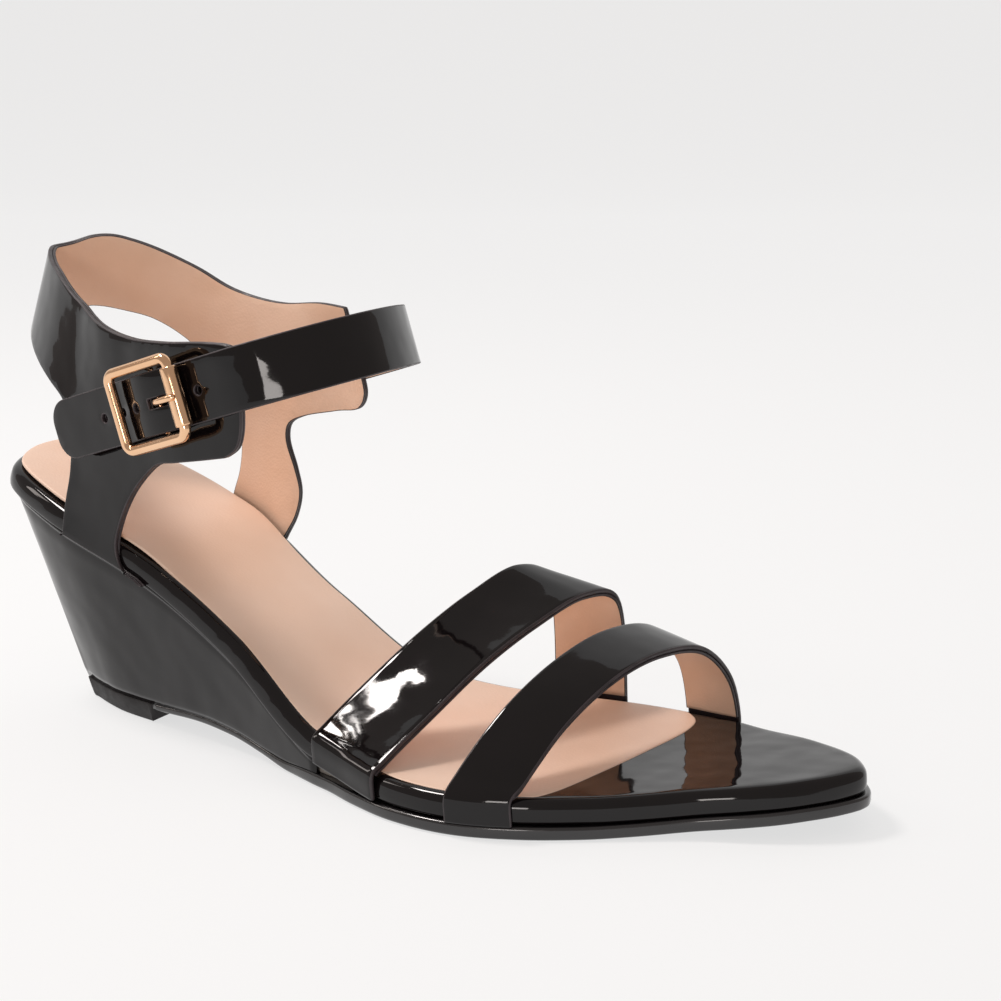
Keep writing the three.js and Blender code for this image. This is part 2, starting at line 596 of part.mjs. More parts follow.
// Everything below the wedge: the ground to the top of the outsole or top piece.
function underCutter() {
  const xs = [-30, BREAST, BREAST + GAP + SLIVER, ...stations(BREAST + 4, wedgeEnd + 5, 18, false, false)];
  const tip = box(
    new THREE.Vector3(wedgeEnd - WRAP, -BEYOND, -BEYOND),
    new THREE.Vector3(wedgeEnd + BEYOND, BEYOND, FORE_TOP),
  );
  return joined(tip, loft(xs.map((x) => {
    const top = Math.max(0.5, x > wedgeEnd ? wedgeBottom(wedgeEnd) : wedgeBottom(x));
    return [[-BEYOND, -BEYOND], [BEYOND, -BEYOND], [BEYOND, top], [-BEYOND, top]].map(([y, z]) => new THREE.Vector3(x, y, z));
  })));
}

// ---- pieces that stand on the platform's edge are cut clear of it
function clearOfPlatform(geometry) {
  const room = slab(wholeStations, -GAP, (x) => bandBottom(x) - 3, (x) => platformTop(x) + GAP);
  return cut(geometry, room);
}

// ---- straps over the forefoot
function footStrap(parent, name, strap) {
  const across = 3;
  const offset = -(GAP + LEATHER);
  const curves = [];
  for (let j = 0; j <= across; j += 1) {
    const v = j / across;
    const feet = [strap.lateral, strap.medial].map(([rear, front], side) => {
      const x = (rear + (front - rear) * v) * lengthScale;
      return edgePoint(x, side, offset).point;
    });
    const at = (p, z) => new THREE.Vector3(p.x, p.y, z);
    const rows = strap.crest.map(([share, rearRise, frontRise]) => {
      const p = feet[0].clone().lerp(feet[1], share);
      return at(p, platformTop(p.x) + rearRise + (frontRise - rearRise) * v);
    });
    const foot = (p) => [at(p, bandBottom(p.x)), at(p, platformTop(p.x) + STRAP_FOOT_RISE)];
    const points = [...foot(feet[0]), ...rows, ...foot(feet[1]).reverse()];
    curves.push(new THREE.CatmullRomCurve3(points, false, 'centripetal'));
  }
  const perSpan = 4;
  const steps = (strap.crest.length + 3) * perSpan;
  const grid = Array.from({ length: steps + 1 }, (_, i) => curves.map((c) => c.getPoint(i / steps)));
  add(parent, name, clearOfPlatform(sheet(grid, 0, LEATHER)), 'patent');
  const lining = sheet(grid, LEATHER + LINING_GAP, LINING, perSpan + 2, steps - perSpan - 2);
  add(parent, `${name}_lining`, clearOfPlatform(lining), 'tan');
}

// ---- heel loop
function cuffShape(runs) {
  const shape = new THREE.Shape();
  runs.forEach((run, i) => {
    const points = run.map(([x, z]) => new THREE.Vector2(x, seat + z));
    if (i === 0) shape.moveTo(points[0].x, points[0].y);
    else shape.lineTo(points[0].x, points[0].y);
    shape.splineThru(points.slice(1));
  });
  return shape;
}

function cuffCutter() {
  const prism = (runs, from, to) => {
    const settings = { depth: to - from, bevelEnabled: false, curveSegments: 3 };
    return new THREE.ExtrudeGeometry(cuffShape(runs), settings).translate(0, 0, from)
      .rotateX(Math.PI / 2);
  };
  // the extrusion runs along -Y after it is turned upright
  const lateral = prism(LATERAL_CUT, -CUFF_SPLIT_Y, 70);
  const medial = prism(MEDIAL_CUT, -70, -CUFF_SPLIT_Y + 0.01);
  return joined(lateral, medial);
}

function heelLoop() {
  const unit = new THREE.Group();
  const offset = -(GAP + LEATHER);
  const upper = [];
  const lower = [];
  CUFF_RUNGS.forEach(([x, y, footX, footY, footZ], i) => {
    upper.push(new THREE.Vector3(x, y, seat + CUFF_TOP));
    if (footY === undefined) {
      const side = i < CUFF_RUNGS.length / 2 ? 0 : 1;
      const foot = edgePoint(footX, side, offset).point;
      lower.push(foot.setZ(bandBottom(foot.x)));
    } else {
      lower.push(new THREE.Vector3(footX, footY, seat + footZ));
    }
  });
  const top = new THREE.CatmullRomCurve3(upper, false, 'centripetal');
  const bottom = new THREE.CatmullRomCurve3(lower, false, 'centripetal');
  const steps = 48;
  const rows = 3;
  const grid = Array.from({ length: steps + 1 }, (_, i) => {
    const high = top.getPoint(i / steps);
    const low = bottom.getPoint(i / steps);
    return Array.from({ length: rows + 1 }, (__, j) => low.clone().lerp(high, j / rows));
  });
  const cutter = cuffCutter();
  const leather = common(sheet(grid, 0, LEATHER), cutter);
  add(unit, 'quarter', clearOfPlatform(leather), 'patent');
  const liningSheet = sheet(grid, LEATHER + LINING_GAP, LINING);
  add(unit, 'quarter_lining', clearOfPlatform(common(liningSheet, cutter)), 'tan');
  return unit;
}


// ---- ankle strap and buckle
function buckleToStrap([u, w]) {
  const s = Math.sin(BUCKLE_TURN);
  const c = Math.cos(BUCKLE_TURN);
  return new THREE.Vector3(u * c - w * s, BUCKLE_Y - u * s - w * c, 0);
}

function strapPath() {
  const round = STRAP_ROUND.map(([x, y]) => (
    new THREE.Vector3((x - BUCKLE_X) / Math.cos(ANKLE_RISE), y, 0)));
  return new THREE.CatmullRomCurve3([...STRAP_AT_BUCKLE.map(buckleToStrap), ...round], false, 'centripetal');
}

function ankleStrap(parent) {
  const path = strapPath();
  const steps = 60;
  const layer = (outerOffset, thickness) => {
    const sections = [];
    for (let i = 0; i <= steps; i += 1) {
      const t = i / steps;
      const p = path.getPoint(t);
      const tangent = path.getTangent(t);
      const out = new THREE.Vector3(tangent.y, -tangent.x, 0).normalize();
      const outer = p.clone().addScaledVector(out, outerOffset);
      const inner = p.clone().addScaledVector(out, outerOffset - thickness);
      const half = STRAP_WIDTH / 2;
      sections.push([outer.clone().setZ(-half), inner.clone().setZ(-half),
        inner.clone().setZ(half), outer.clone().setZ(half)]);
    }
    return loft(sections);
  };
  const start = STRAP_AT_BUCKLE[0][0];
  const half = STRAP_WIDTH / 2;
  const r = TAIL_RADIUS;
  // prism with a rounded end, seen from outside: u along, v across
  const tail = new THREE.Shape();
  tail.moveTo(start + r, -half);
  tail.lineTo(90, -half - 20);
  tail.lineTo(90, half + 20);
  tail.lineTo(start + r, half);
  tail.absarc(start + r, half - r, r, Math.PI / 2, Math.PI);
  tail.lineTo(start, -half + r);
  tail.absarc(start + r, -half + r, r, Math.PI, Math.PI * 1.5);
  const keep = new THREE.ExtrudeGeometry(tail, { depth: 130, bevelEnabled: false, curveSegments: 6 });
  keep.translate(0, 0, -100);
  const holeAt = (u) => new THREE.CylinderGeometry(HOLE_RADIUS, HOLE_RADIUS, 20, 12)
    .rotateX(Math.PI / 2).translate(u, 0, 0);
  const slot = box(
    new THREE.Vector3(SLOT_U[0], -SLOT_WIDTH / 2, -10), new THREE.Vector3(SLOT_U[1], SLOT_WIDTH / 2, 10),
  );
  const frame = buckleMatrix();
  const tools = [slot, ...HOLES_U.map(holeAt)].map((tool) => tool.applyMatrix4(frame));
  const shape = (geometry) => cut(common(geometry, keep.clone().applyMatrix4(frame)), ...tools);
  const outside = STRAP_THICKNESS / 2;
  add(parent, 'ankle_strap', shape(layer(outside, LEATHER)), 'patent');
  const liningDepth = STRAP_THICKNESS - LEATHER - GAP;
  add(parent, 'ankle_strap_lining', shape(layer(outside - LEATHER - GAP, liningDepth)), 'tan');
}

// Places buckle coordinates (u, v, w) in the ankle strap's plane.
function buckleMatrix() {
  const s = Math.sin(BUCKLE_TURN);
  const c = Math.cos(BUCKLE_TURN);
  const matrix = new THREE.Matrix4().makeBasis(
    new THREE.Vector3(c, -s, 0), new THREE.Vector3(0, 0, 1), new THREE.Vector3(-s, -c, 0),
  );
  return matrix.setPosition(0, BUCKLE_Y, 0);
}

function buckle(parent) {
  const group = new THREE.Group();
  group.applyMatrix4(buckleMatrix());
  parent.add(group);

  // outer frame: a rounded rectangle of rod
  const corners = [[1, 1, 0], [-1, 1, 90], [-1, -1, 180], [1, -1, 270]];
  const centres = [];
  corners.forEach(([su, sv, start]) => {
    for (let i = 0; i <= 4; i += 1) {
      const angle = THREE.MathUtils.degToRad(start + i * 22.5);
      const u = su * (FRAME_HALF_LENGTH - FRAME_CORNER) + FRAME_CORNER * Math.cos(angle);
      const v = sv * (FRAME_HALF_HEIGHT - FRAME_CORNER) + FRAME_CORNER * Math.sin(angle);
      centres.push({ u, v, angle });
    }
  });
  const sides = 8;
  const rings = centres.map(({ u, v, angle }) => Array.from({ length: sides }, (_, k) => {
    const a = (k / sides) * Math.PI * 2;
    const out = FRAME_ROD * Math.cos(a);
    return new THREE.Vector3(u + out * Math.cos(angle), v + out * Math.sin(angle),
      FRAME_W + FRAME_ROD * Math.sin(a));
  }));
  const barRoute = [[FRAME_HALF_HEIGHT, FRAME_W], [BAR_LEG_V + 0.3, FRAME_W - 2.2],
    [BAR_LEG_V, BAR_W + 1.2], [BAR_LEG_V - 0.8, BAR_W], [BAR_LEG_V - 1.8, BAR_W], [0, BAR_W]];
  const barPoints = [...barRoute, ...barRoute.slice(0, -1).reverse().map(([v, w]) => [-v, w])]
    .map(([v, w]) => new THREE.Vector3(0, v, w));
  const bar = rod(new THREE.CatmullRomCurve3(barPoints, false, 'centripetal'), BAR_ROD, 24, 4);
  add(group, 'buckle_frame', joined(loft(rings, true), bar), 'gold');

  const innerRadius = FRAME_ROD + GAP;
  const outerRadius = innerRadius + ROLLER_WALL;
  const half = ROLLER_LENGTH / 2;
  const roller = turned([[innerRadius, -half], [outerRadius, -half], [outerRadius, half], [innerRadius, half]], 20);
  roller.rotateX(-Math.PI / 2);
  add(group, 'buckle_roller', roller.translate(FRAME_HALF_LENGTH, 0, FRAME_W), 'gold');

  const ringInner = BAR_ROD + GAP;
  const ringOuter = ringInner + PRONG_RING_WALL;
  const halfRing = PRONG_RING_WIDTH / 2;
  const ring = turned([[ringInner, -halfRing], [ringOuter, -halfRing], [ringOuter, halfRing],
    [ringInner, halfRing]], 18).rotateX(-Math.PI / 2).translate(0, 0, BAR_W);
  const route = PRONG_ROUTE.map(([u, w]) => new THREE.Vector3(u, 0, w));
  const needle = rod(new THREE.CatmullRomCurve3(route, false, 'centripetal'), PRONG_ROD, 12, 4);
  const bore = new THREE.CylinderGeometry(ringInner, ringInner, PRONG_RING_WIDTH * 2, 18)
    .translate(0, 0, BAR_W);
  add(group, 'buckle_prong', cut(joined(ring, needle), bore), 'gold');

  // leather loop that holds the centre bar against the tab
  const wrapInner = BAR_ROD + GAP / 2;
  const wrapOuter = wrapInner + LOOP_LEATHER;
  const section = new THREE.Shape();
  section.moveTo(-LOOP_BACK, GAP);
  section.lineTo(-2, GAP);
  section.absarc(0, BAR_W, wrapOuter, -Math.PI / 2, Math.PI / 2 + 0.35, false);
  section.lineTo(-3.4, BAR_W + 0.4);
  section.lineTo(-5, GAP + 2 * LOOP_LEATHER);
  section.lineTo(-LOOP_BACK, GAP + 2 * LOOP_LEATHER);
  section.holes.push(new THREE.Path().absarc(0, BAR_W, wrapInner, 0, Math.PI * 2, true));
  const strip = new THREE.ExtrudeGeometry(section, {
    depth: LOOP_WIDTH, bevelEnabled: false, curveSegments: 8,
  }).translate(0, 0, -LOOP_WIDTH / 2);
  strip.rotateX(Math.PI / 2);
  strip.scale(1, -1, 1);
  const prongRoom = box(new THREE.Vector3(-3, -halfRing - GAP, -1), new THREE.Vector3(4, halfRing + GAP, 8));
  add(group, 'buckle_loop', cut(strip, prongRoom), 'patent');
}

function fastening() {
  const plane = new THREE.Group();
  plane.position.set(BUCKLE_X, 0, seat + BUCKLE_Z);
  plane.rotation.y = -ANKLE_RISE;
  ankleStrap(plane);
  buckle(plane);
  return plane;
}

sandal.add(soleUnit(), heelUnit());
const uppers = new THREE.Group();
footStrap(uppers, 'toe_strap', TOE_STRAP);
footStrap(uppers, 'instep_strap', INSTEP_STRAP);
sandal.add(uppers, heelLoop(), fastening());

export default sandal;
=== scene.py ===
"""Looks of a right-foot wedge sandal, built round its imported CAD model.

Lengths are millimetres until a mesh is made. Along the shoe, x counts from the back of the platform.
"""

import json
import logging
import math
from dataclasses import dataclass, field
from enum import Enum
from typing import Callable, Sequence

import bpy
import numpy as np
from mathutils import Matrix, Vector
from mathutils.geometry import delaunay_2d_cdt


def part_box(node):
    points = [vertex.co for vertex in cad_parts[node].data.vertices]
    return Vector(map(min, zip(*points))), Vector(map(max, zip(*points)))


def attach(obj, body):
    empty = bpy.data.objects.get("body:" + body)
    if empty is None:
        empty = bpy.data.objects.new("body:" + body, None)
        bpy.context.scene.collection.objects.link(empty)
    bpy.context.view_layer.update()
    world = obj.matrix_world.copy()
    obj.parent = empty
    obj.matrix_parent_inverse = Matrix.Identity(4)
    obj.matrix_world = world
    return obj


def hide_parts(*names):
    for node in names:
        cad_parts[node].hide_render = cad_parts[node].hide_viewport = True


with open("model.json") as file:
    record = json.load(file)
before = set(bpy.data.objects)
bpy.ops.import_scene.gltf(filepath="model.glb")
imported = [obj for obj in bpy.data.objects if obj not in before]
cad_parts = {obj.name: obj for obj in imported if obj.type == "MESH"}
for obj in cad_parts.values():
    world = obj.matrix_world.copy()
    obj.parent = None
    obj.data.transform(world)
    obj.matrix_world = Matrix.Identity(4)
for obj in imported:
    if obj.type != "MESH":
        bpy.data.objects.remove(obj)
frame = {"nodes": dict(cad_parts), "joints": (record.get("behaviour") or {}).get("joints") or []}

LOG = logging.getLogger("sandal")
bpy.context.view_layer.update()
MM = 0.001
SKIN_GAP = 0.05  # gap between visible layers that are glued together

Array = np.ndarray
Profile = Sequence[tuple[float, float]]


class Body(Enum):
    """CAD bodies that pieces ride on."""

    SHOE = "shoe"
    STRAP = "ankle_strap"
    BUCKLE = "buckle"
    PRONG = "prong"
    ROLLER = "roller"


class Side(Enum):
    """Outer (lateral) or inner (medial) side of the foot."""

    OUTER = 0
    INNER = 1


# ------------------------------------------------------------------ curves
def smooth_rows(rows: Sequence[Sequence[float]], x: Array | float) -> Array:
    """Monotone curve through (x, value) rows, flat outside them.

    Args:
        rows: the rows, in order of x.
        x: one place or many.

    Returns:
        The values at x.
    """
    xs, ys = np.array(rows, float).T
    step = np.diff(xs)
    secant = np.diff(ys) / step
    slope = np.zeros(len(xs))
    before, after = secant[:-1], secant[1:]
    total = np.where(before + after == 0, 1, before + after)
    slope[1:-1] = np.where(before * after > 0, 2 * before * after / total, 0)
    at = np.clip(np.asarray(x, float), xs[0], xs[-1])
    i = np.clip(np.searchsorted(xs, at, side="right") - 1, 0, len(xs) - 2)
    t = (at - xs[i]) / step[i]
    t2, t3 = t * t, t * t * t
    return (
        (2 * t3 - 3 * t2 + 1) * ys[i] + (t3 - 2 * t2 + t) * step[i] * slope[i]
        + (3 * t2 - 2 * t3) * ys[i + 1] + (t3 - t2) * step[i] * slope[i + 1]
    )


class Spline:
    """Centripetal curve through points, with its parameter from 0 to 1."""

    def __init__(self, points: Sequence[Sequence[float]], closed: bool = False) -> None:
        """Keeps the points, with one more beyond each end of an open curve."""
        p = np.array(points, float)
        if closed:
            self.points = np.vstack([p[-1], p, p[0], p[1]])
        else:
            self.points = np.vstack([2 * p[0] - p[1], p, 2 * p[-1] - p[-2]])
        self.spans = len(self.points) - 3

    def at(self, t: Array | float) -> Array:
        """Points of the curve.

        Args:
            t: one parameter or many, from 0 to 1.

        Returns:
            One row for each parameter.
        """
        u = np.atleast_1d(np.asarray(t, float)) * self.spans
        i = np.clip(u.astype(int), 0, self.spans - 1)
        w = (u - i)[:, None]
        a, b, c, d = (self.points[i + k] for k in range(4))
        gap = [np.maximum(np.linalg.norm(q - p, axis=1) ** 0.5, 1e-3)[:, None]
               for p, q in ((a, b), (b, c), (c, d))]
        start = ((b - a) / gap[0] - (c - a) / (gap[0] + gap[1]) + (c - b) / gap[1]) * gap[1]
        end = ((c - b) / gap[1] - (d - b) / (gap[1] + gap[2]) + (d - c) / gap[2]) * gap[1]
        return (
            b + start * w + (3 * (c - b) - 2 * start - end) * w**2
            + (2 * (b - c) + start + end) * w**3
        )


def unit(v: Array) -> Array:
    """Vectors made one long."""
    return v / np.maximum(np.linalg.norm(v, axis=-1, keepdims=True), 1e-9)


def resample(loop: Array, pitch: float) -> Array:
    """A closed loop of points set out evenly.

    Args:
        loop: corners of the loop, without the first one repeated.
        pitch: distance between the new points.

    Returns:
        The new points; sharp corners move by less than half the pitch.
    """
    closed = np.vstack([loop, loop[:1]])
    along = np.concatenate([[0], np.cumsum(np.linalg.norm(np.diff(closed, axis=0), axis=1))])
    count = max(8, round(along[-1] / pitch))
    places = np.arange(count) * along[-1] / count
    return np.stack([np.interp(places, along, closed[:, k]) for k in range(closed.shape[1])], 1)


def inside(points: Array, loop: Array) -> Array:
    """Which points lie inside a closed loop, by counting crossings."""
    x, y = points[:, :1], points[:, 1:2]
    x0, y0 = loop.T
    x1, y1 = np.roll(loop, -1, axis=0).T
    crosses = (y0 > y) != (y1 > y)
    rise = np.where(y1 == y0, 1e-12, y1 - y0)
    return (crosses & (x < (x1 - x0) * (y - y0) / rise + x0)).sum(axis=1) % 2 == 1


# ------------------------------------------------------------------ meshes
def make_mesh(name: str, points: Array, faces: list[list[int]], slots: Sequence[int],
              finishes: Sequence[bpy.types.Material]) -> bpy.types.Object:
    """Makes a smooth-shaded mesh object.

    Args:
        name: the piece's name.
        points: corners in millimetres, x from the heel's back.
        faces: corner numbers of each face.
        slots: the finish number of each face.
        finishes: the finishes.

    Returns:
        The object, linked to the scene.
    """
    heel_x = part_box("platform_cover")[0].x
    mesh = bpy.data.meshes.new(name)
    mesh.from_pydata((np.asarray(points) * MM + [heel_x, 0, 0]).tolist(), [], faces)
    for finish in finishes:
        mesh.materials.append(finish)
    mesh.polygons.foreach_set("material_index", np.array(slots, np.int32))
    mesh.polygons.foreach_set("use_smooth", np.ones(len(faces), bool))
    mesh.validate()
    mesh.update()
    piece = bpy.data.objects.new(name, mesh)
    bpy.context.scene.collection.objects.link(piece)
    return piece


def loft(rings: Array, closed: bool = False, slots: Sequence[int] | None = None
         ) -> tuple[Array, list[list[int]], list[int]]:
    """Skin over rings of points.

    Args:
        rings: points, as ring by corner by 3.
        closed: whether the last ring joins the first; otherwise the ends are capped.
        slots: finish number of each strip round the ring.

    Returns:
        Points, faces and finish numbers.
    """
    rings = np.asarray(rings)
    count, size = rings.shape[:2]
    slots = slots or [0] * size
    faces: list[list[int]] = []
    numbers: list[int] = []
    for i in range(count if closed else count - 1):
        here, there = i * size, ((i + 1) % count) * size
        for j in range(size):
            k = (j + 1) % size
            faces.append([here + j, here + k, there + k, there + j])
            numbers.append(slots[j])
    if not closed:
        end = (count - 1) * size
        faces.append(list(range(size))[::-1])
        faces.append([end + j for j in range(size)])
        numbers += [slots[-1], slots[-1]]
    return rings.reshape(-1, 3), faces, numbers


def sweep(path: Array, radius: Array | float, sides: int = 14, closed: bool = False) -> Array:
    """Round rings along a path.

    Args:
        path: points of the path.
        radius: one radius, or one at each point.
        sides: corners of each ring.
        closed: whether the path is a loop.

    Returns:
        Rings for loft().
    """
    path = np.asarray(path, float)
    tangent = unit(np.roll(path, -1, 0) - np.roll(path, 1, 0)) if closed else unit(np.gradient(path, axis=0))
    radius = np.broadcast_to(radius, len(path))
    normal = unit(np.cross(tangent[0], [0.31, 0.17, 0.93]))
    angles = np.arange(sides) / sides * math.tau
    rings = []
    for point, direction, r in zip(path, tangent, radius):
        normal = unit(normal - direction * (normal @ direction))
        other = np.cross(direction, normal)
        rings.append(point + r * (np.cos(angles)[:, None] * normal + np.sin(angles)[:, None] * other))
    return np.array(rings)


def joined(*parts: tuple[Array, list[list[int]], list[int]]) -> tuple[Array, list[list[int]], list[int]]:
    """Several lofts as one, all in the first material slot."""
    faces: list[list[int]] = []
    count = 0
    for points, part_faces, _ in parts:
        faces += [[corner + count for corner in face] for face in part_faces]
        count += len(points)
    return np.vstack([points for points, _, _ in parts]), faces, [0] * len(faces)


def rounded_edge(thickness: float, radius: float, steps: int = 3) -> list[tuple[float, float]]:
    """Rim profile of a sheet, (outward, down) from the outer face to the inner face."""
    turn = np.linspace(0, math.pi / 2, steps + 1)
    upper = [(-radius + radius * math.sin(a), -radius + radius * math.cos(a)) for a in turn]
    lower = [(out, -thickness - down) for out, down in reversed(upper)]
    return upper + lower


@dataclass
class Panel:
    """A sheet of leather or board cut to an outline and laid on a surface.

    Attributes:
        surface: maps flat (u, v) rows to points of the outer face.
        outline: loop in (u, v), anticlockwise.
        holes: loops of the holes, clockwise.
        rim: profile of every edge, (outward, along the normal).
        facing: 1 where u cross v points out of the outer face, otherwise -1.
        pitch: distance between mesh points.
        thickness: sheet thickness at (u, v) rows, or one number.
    """

    surface: Callable[[Array], Array]
    outline: Array
    rim: Profile
    facing: int = 1
    pitch: float = 2.0
    edge_pitch: float = 1.0
    thickness: Callable[[Array], Array] | float = 1.2
    holes: list[Array] = field(default_factory=list)

    def normals(self, flat: Array) -> Array:
        """Direction of u cross v at flat rows."""
        step = 0.05
        du = self.surface(flat + [step, 0]) - self.surface(flat - [step, 0])
        dv = self.surface(flat + [0, step]) - self.surface(flat - [0, step])
        return unit(np.cross(du, dv))

    def cut(self) -> tuple[list[Array], Array, list[list[int]]]:
        """Cuts the flat sheet.

        Returns:
            The loops, the flat mesh points with the loops' points first, and the triangles.
        """
        loops = [resample(self.outline, self.edge_pitch)]
        loops += [resample(hole, self.edge_pitch / 3) for hole in self.holes]
        border = np.vstack(loops)
        low, high = loops[0].min(0), loops[0].max(0)
        grid = np.array([
            (u + (row % 2) * self.pitch / 2, v)
            for row, v in enumerate(np.arange(low[1], high[1], self.pitch * 0.87))
            for u in np.arange(low[0], high[0], self.pitch)
        ])
        keep = inside(grid, loops[0])
        for hole in loops[1:]:
            keep &= ~inside(grid, hole)
        grid = grid[keep]
        gap = np.array([np.min(np.hypot(*(border - point).T)) for point in grid])
        rim_reach = -min(self.rim[0][0], self.rim[-1][0])
        grid = grid[gap > max(self.pitch * 0.55, rim_reach + 0.6)]
        flat = np.vstack([border, grid])
        edges, start = [], 0
        for loop in loops:
            edges += [(start + i, start + (i + 1) % len(loop)) for i in range(len(loop))]
            start += len(loop)
        result = delaunay_2d_cdt([Vector(p) for p in flat], edges, [], 0, 1e-5, True)
        source = [ids[0] for ids in result[3]]
        triangles = [[source[i] for i in face] for face in result[2]]
        centres = np.array([flat[t].mean(0) for t in triangles])
        keep = inside(centres, loops[0])
        for hole in loops[1:]:
            keep &= ~inside(centres, hole)
        return loops, flat, [t for t, kept in zip(triangles, keep) if kept]

    def build(self, name: str, finishes: Sequence[bpy.types.Material]) -> bpy.types.Object:
        """Makes the sheet as a closed mesh.

        Args:
            name: the piece's name.
            finishes: finishes of the outer face, the edge and the inner face.

        Returns:
            The object.
        """
        loops, flat, triangles = self.cut()
        normal = self.normals(flat)
        outward = normal * self.facing
        top = self.surface(flat)
        varies = callable(self.thickness)
        thick = self.thickness(flat) if varies else np.full(len(flat), self.thickness)
        bottom = top - outward * thick[:, None]
        points = [top, bottom]
        faces: list[list[int]] = []
        slots: list[int] = []
        size = len(flat)
        for a, b, c in triangles:
            turn = self.facing > 0
            faces.append([a, b, c] if turn else [a, c, b])
            faces.append([a + size, c + size, b + size] if turn else [a + size, b + size, c + size])
            slots += [0, 2]
        start, extra = 0, 2 * size
        for loop in loops:
            count = len(loop)
            ids = np.arange(start, start + count)
            place, up = self.surface(loop), outward[ids]
            along = unit(np.roll(place, -1, 0) - np.roll(place, 1, 0))
            out = unit(np.cross(along, normal[ids]))
            # the first and last rows of the profile are the two faces' own edges
            rings = [ids]
            top[ids] = place + out * self.rim[0][0] + up * self.rim[0][1]
            shift = up * (self.rim_depth() - thick[ids][:, None]) if varies else 0 * up
            for row, (sideways, lift) in enumerate(self.rim[1:-1], 1):
                lower = shift if row >= len(self.rim) / 2 else 0
                points.append(place + out * sideways + up * lift + lower)
                rings.append(np.arange(extra, extra + count))
                extra += count
            bottom[ids] = place + out * self.rim[-1][0] + up * self.rim[-1][1] + shift
            rings.append(ids + size)
            for upper, lower in zip(rings, rings[1:]):
                for i in range(count):
                    k = (i + 1) % count
                    quad = [int(upper[i]), int(lower[i]), int(lower[k]), int(upper[k])]
                    faces.append(quad if self.facing > 0 else quad[::-1])
                    slots.append(1)
            start += count
        return make_mesh(name, np.vstack(points), faces, slots, finishes)

    def rim_depth(self) -> float:
        """Depth of the rim profile, which is moved down to the sheet's own thickness."""
        return -min(down for _, down in self.rim)


# ------------------------------------------------------------------ finishes
def linear(colour: str) -> tuple[float, float, float, float]:
    """Turns an sRGB hex colour into linear numbers."""
    parts = [int(colour[i:i + 2], 16) / 255 for i in (1, 3, 5)]
    return (*[c / 12.92 if c <= 0.04045 else ((c + 0.055) / 1.055) ** 2.4 for c in parts], 1.0)


def add_node(tree: bpy.types.NodeTree, kind: str, links: dict | None = None, **values) -> bpy.types.Node:
    """Adds a shader node.

    Args:
        tree: the node tree.
        kind: the node's type name, without "ShaderNode".
        links: input name or number to the output socket that feeds it.
        values: node settings, or numbers of inputs written in_NAME or in_NUMBER.

    Returns:
        The node.
    """
    node = tree.nodes.new("ShaderNode" + kind)
    for key, value in values.items():
        if key.startswith("in_"):
            place = key[3:]
            node.inputs[int(place) if place.isdigit() else place.replace("_", " ")].default_value = value
        else:
            setattr(node, key, value)
    for key, socket in (links or {}).items():
        tree.links.new(socket, node.inputs[key])
    return node


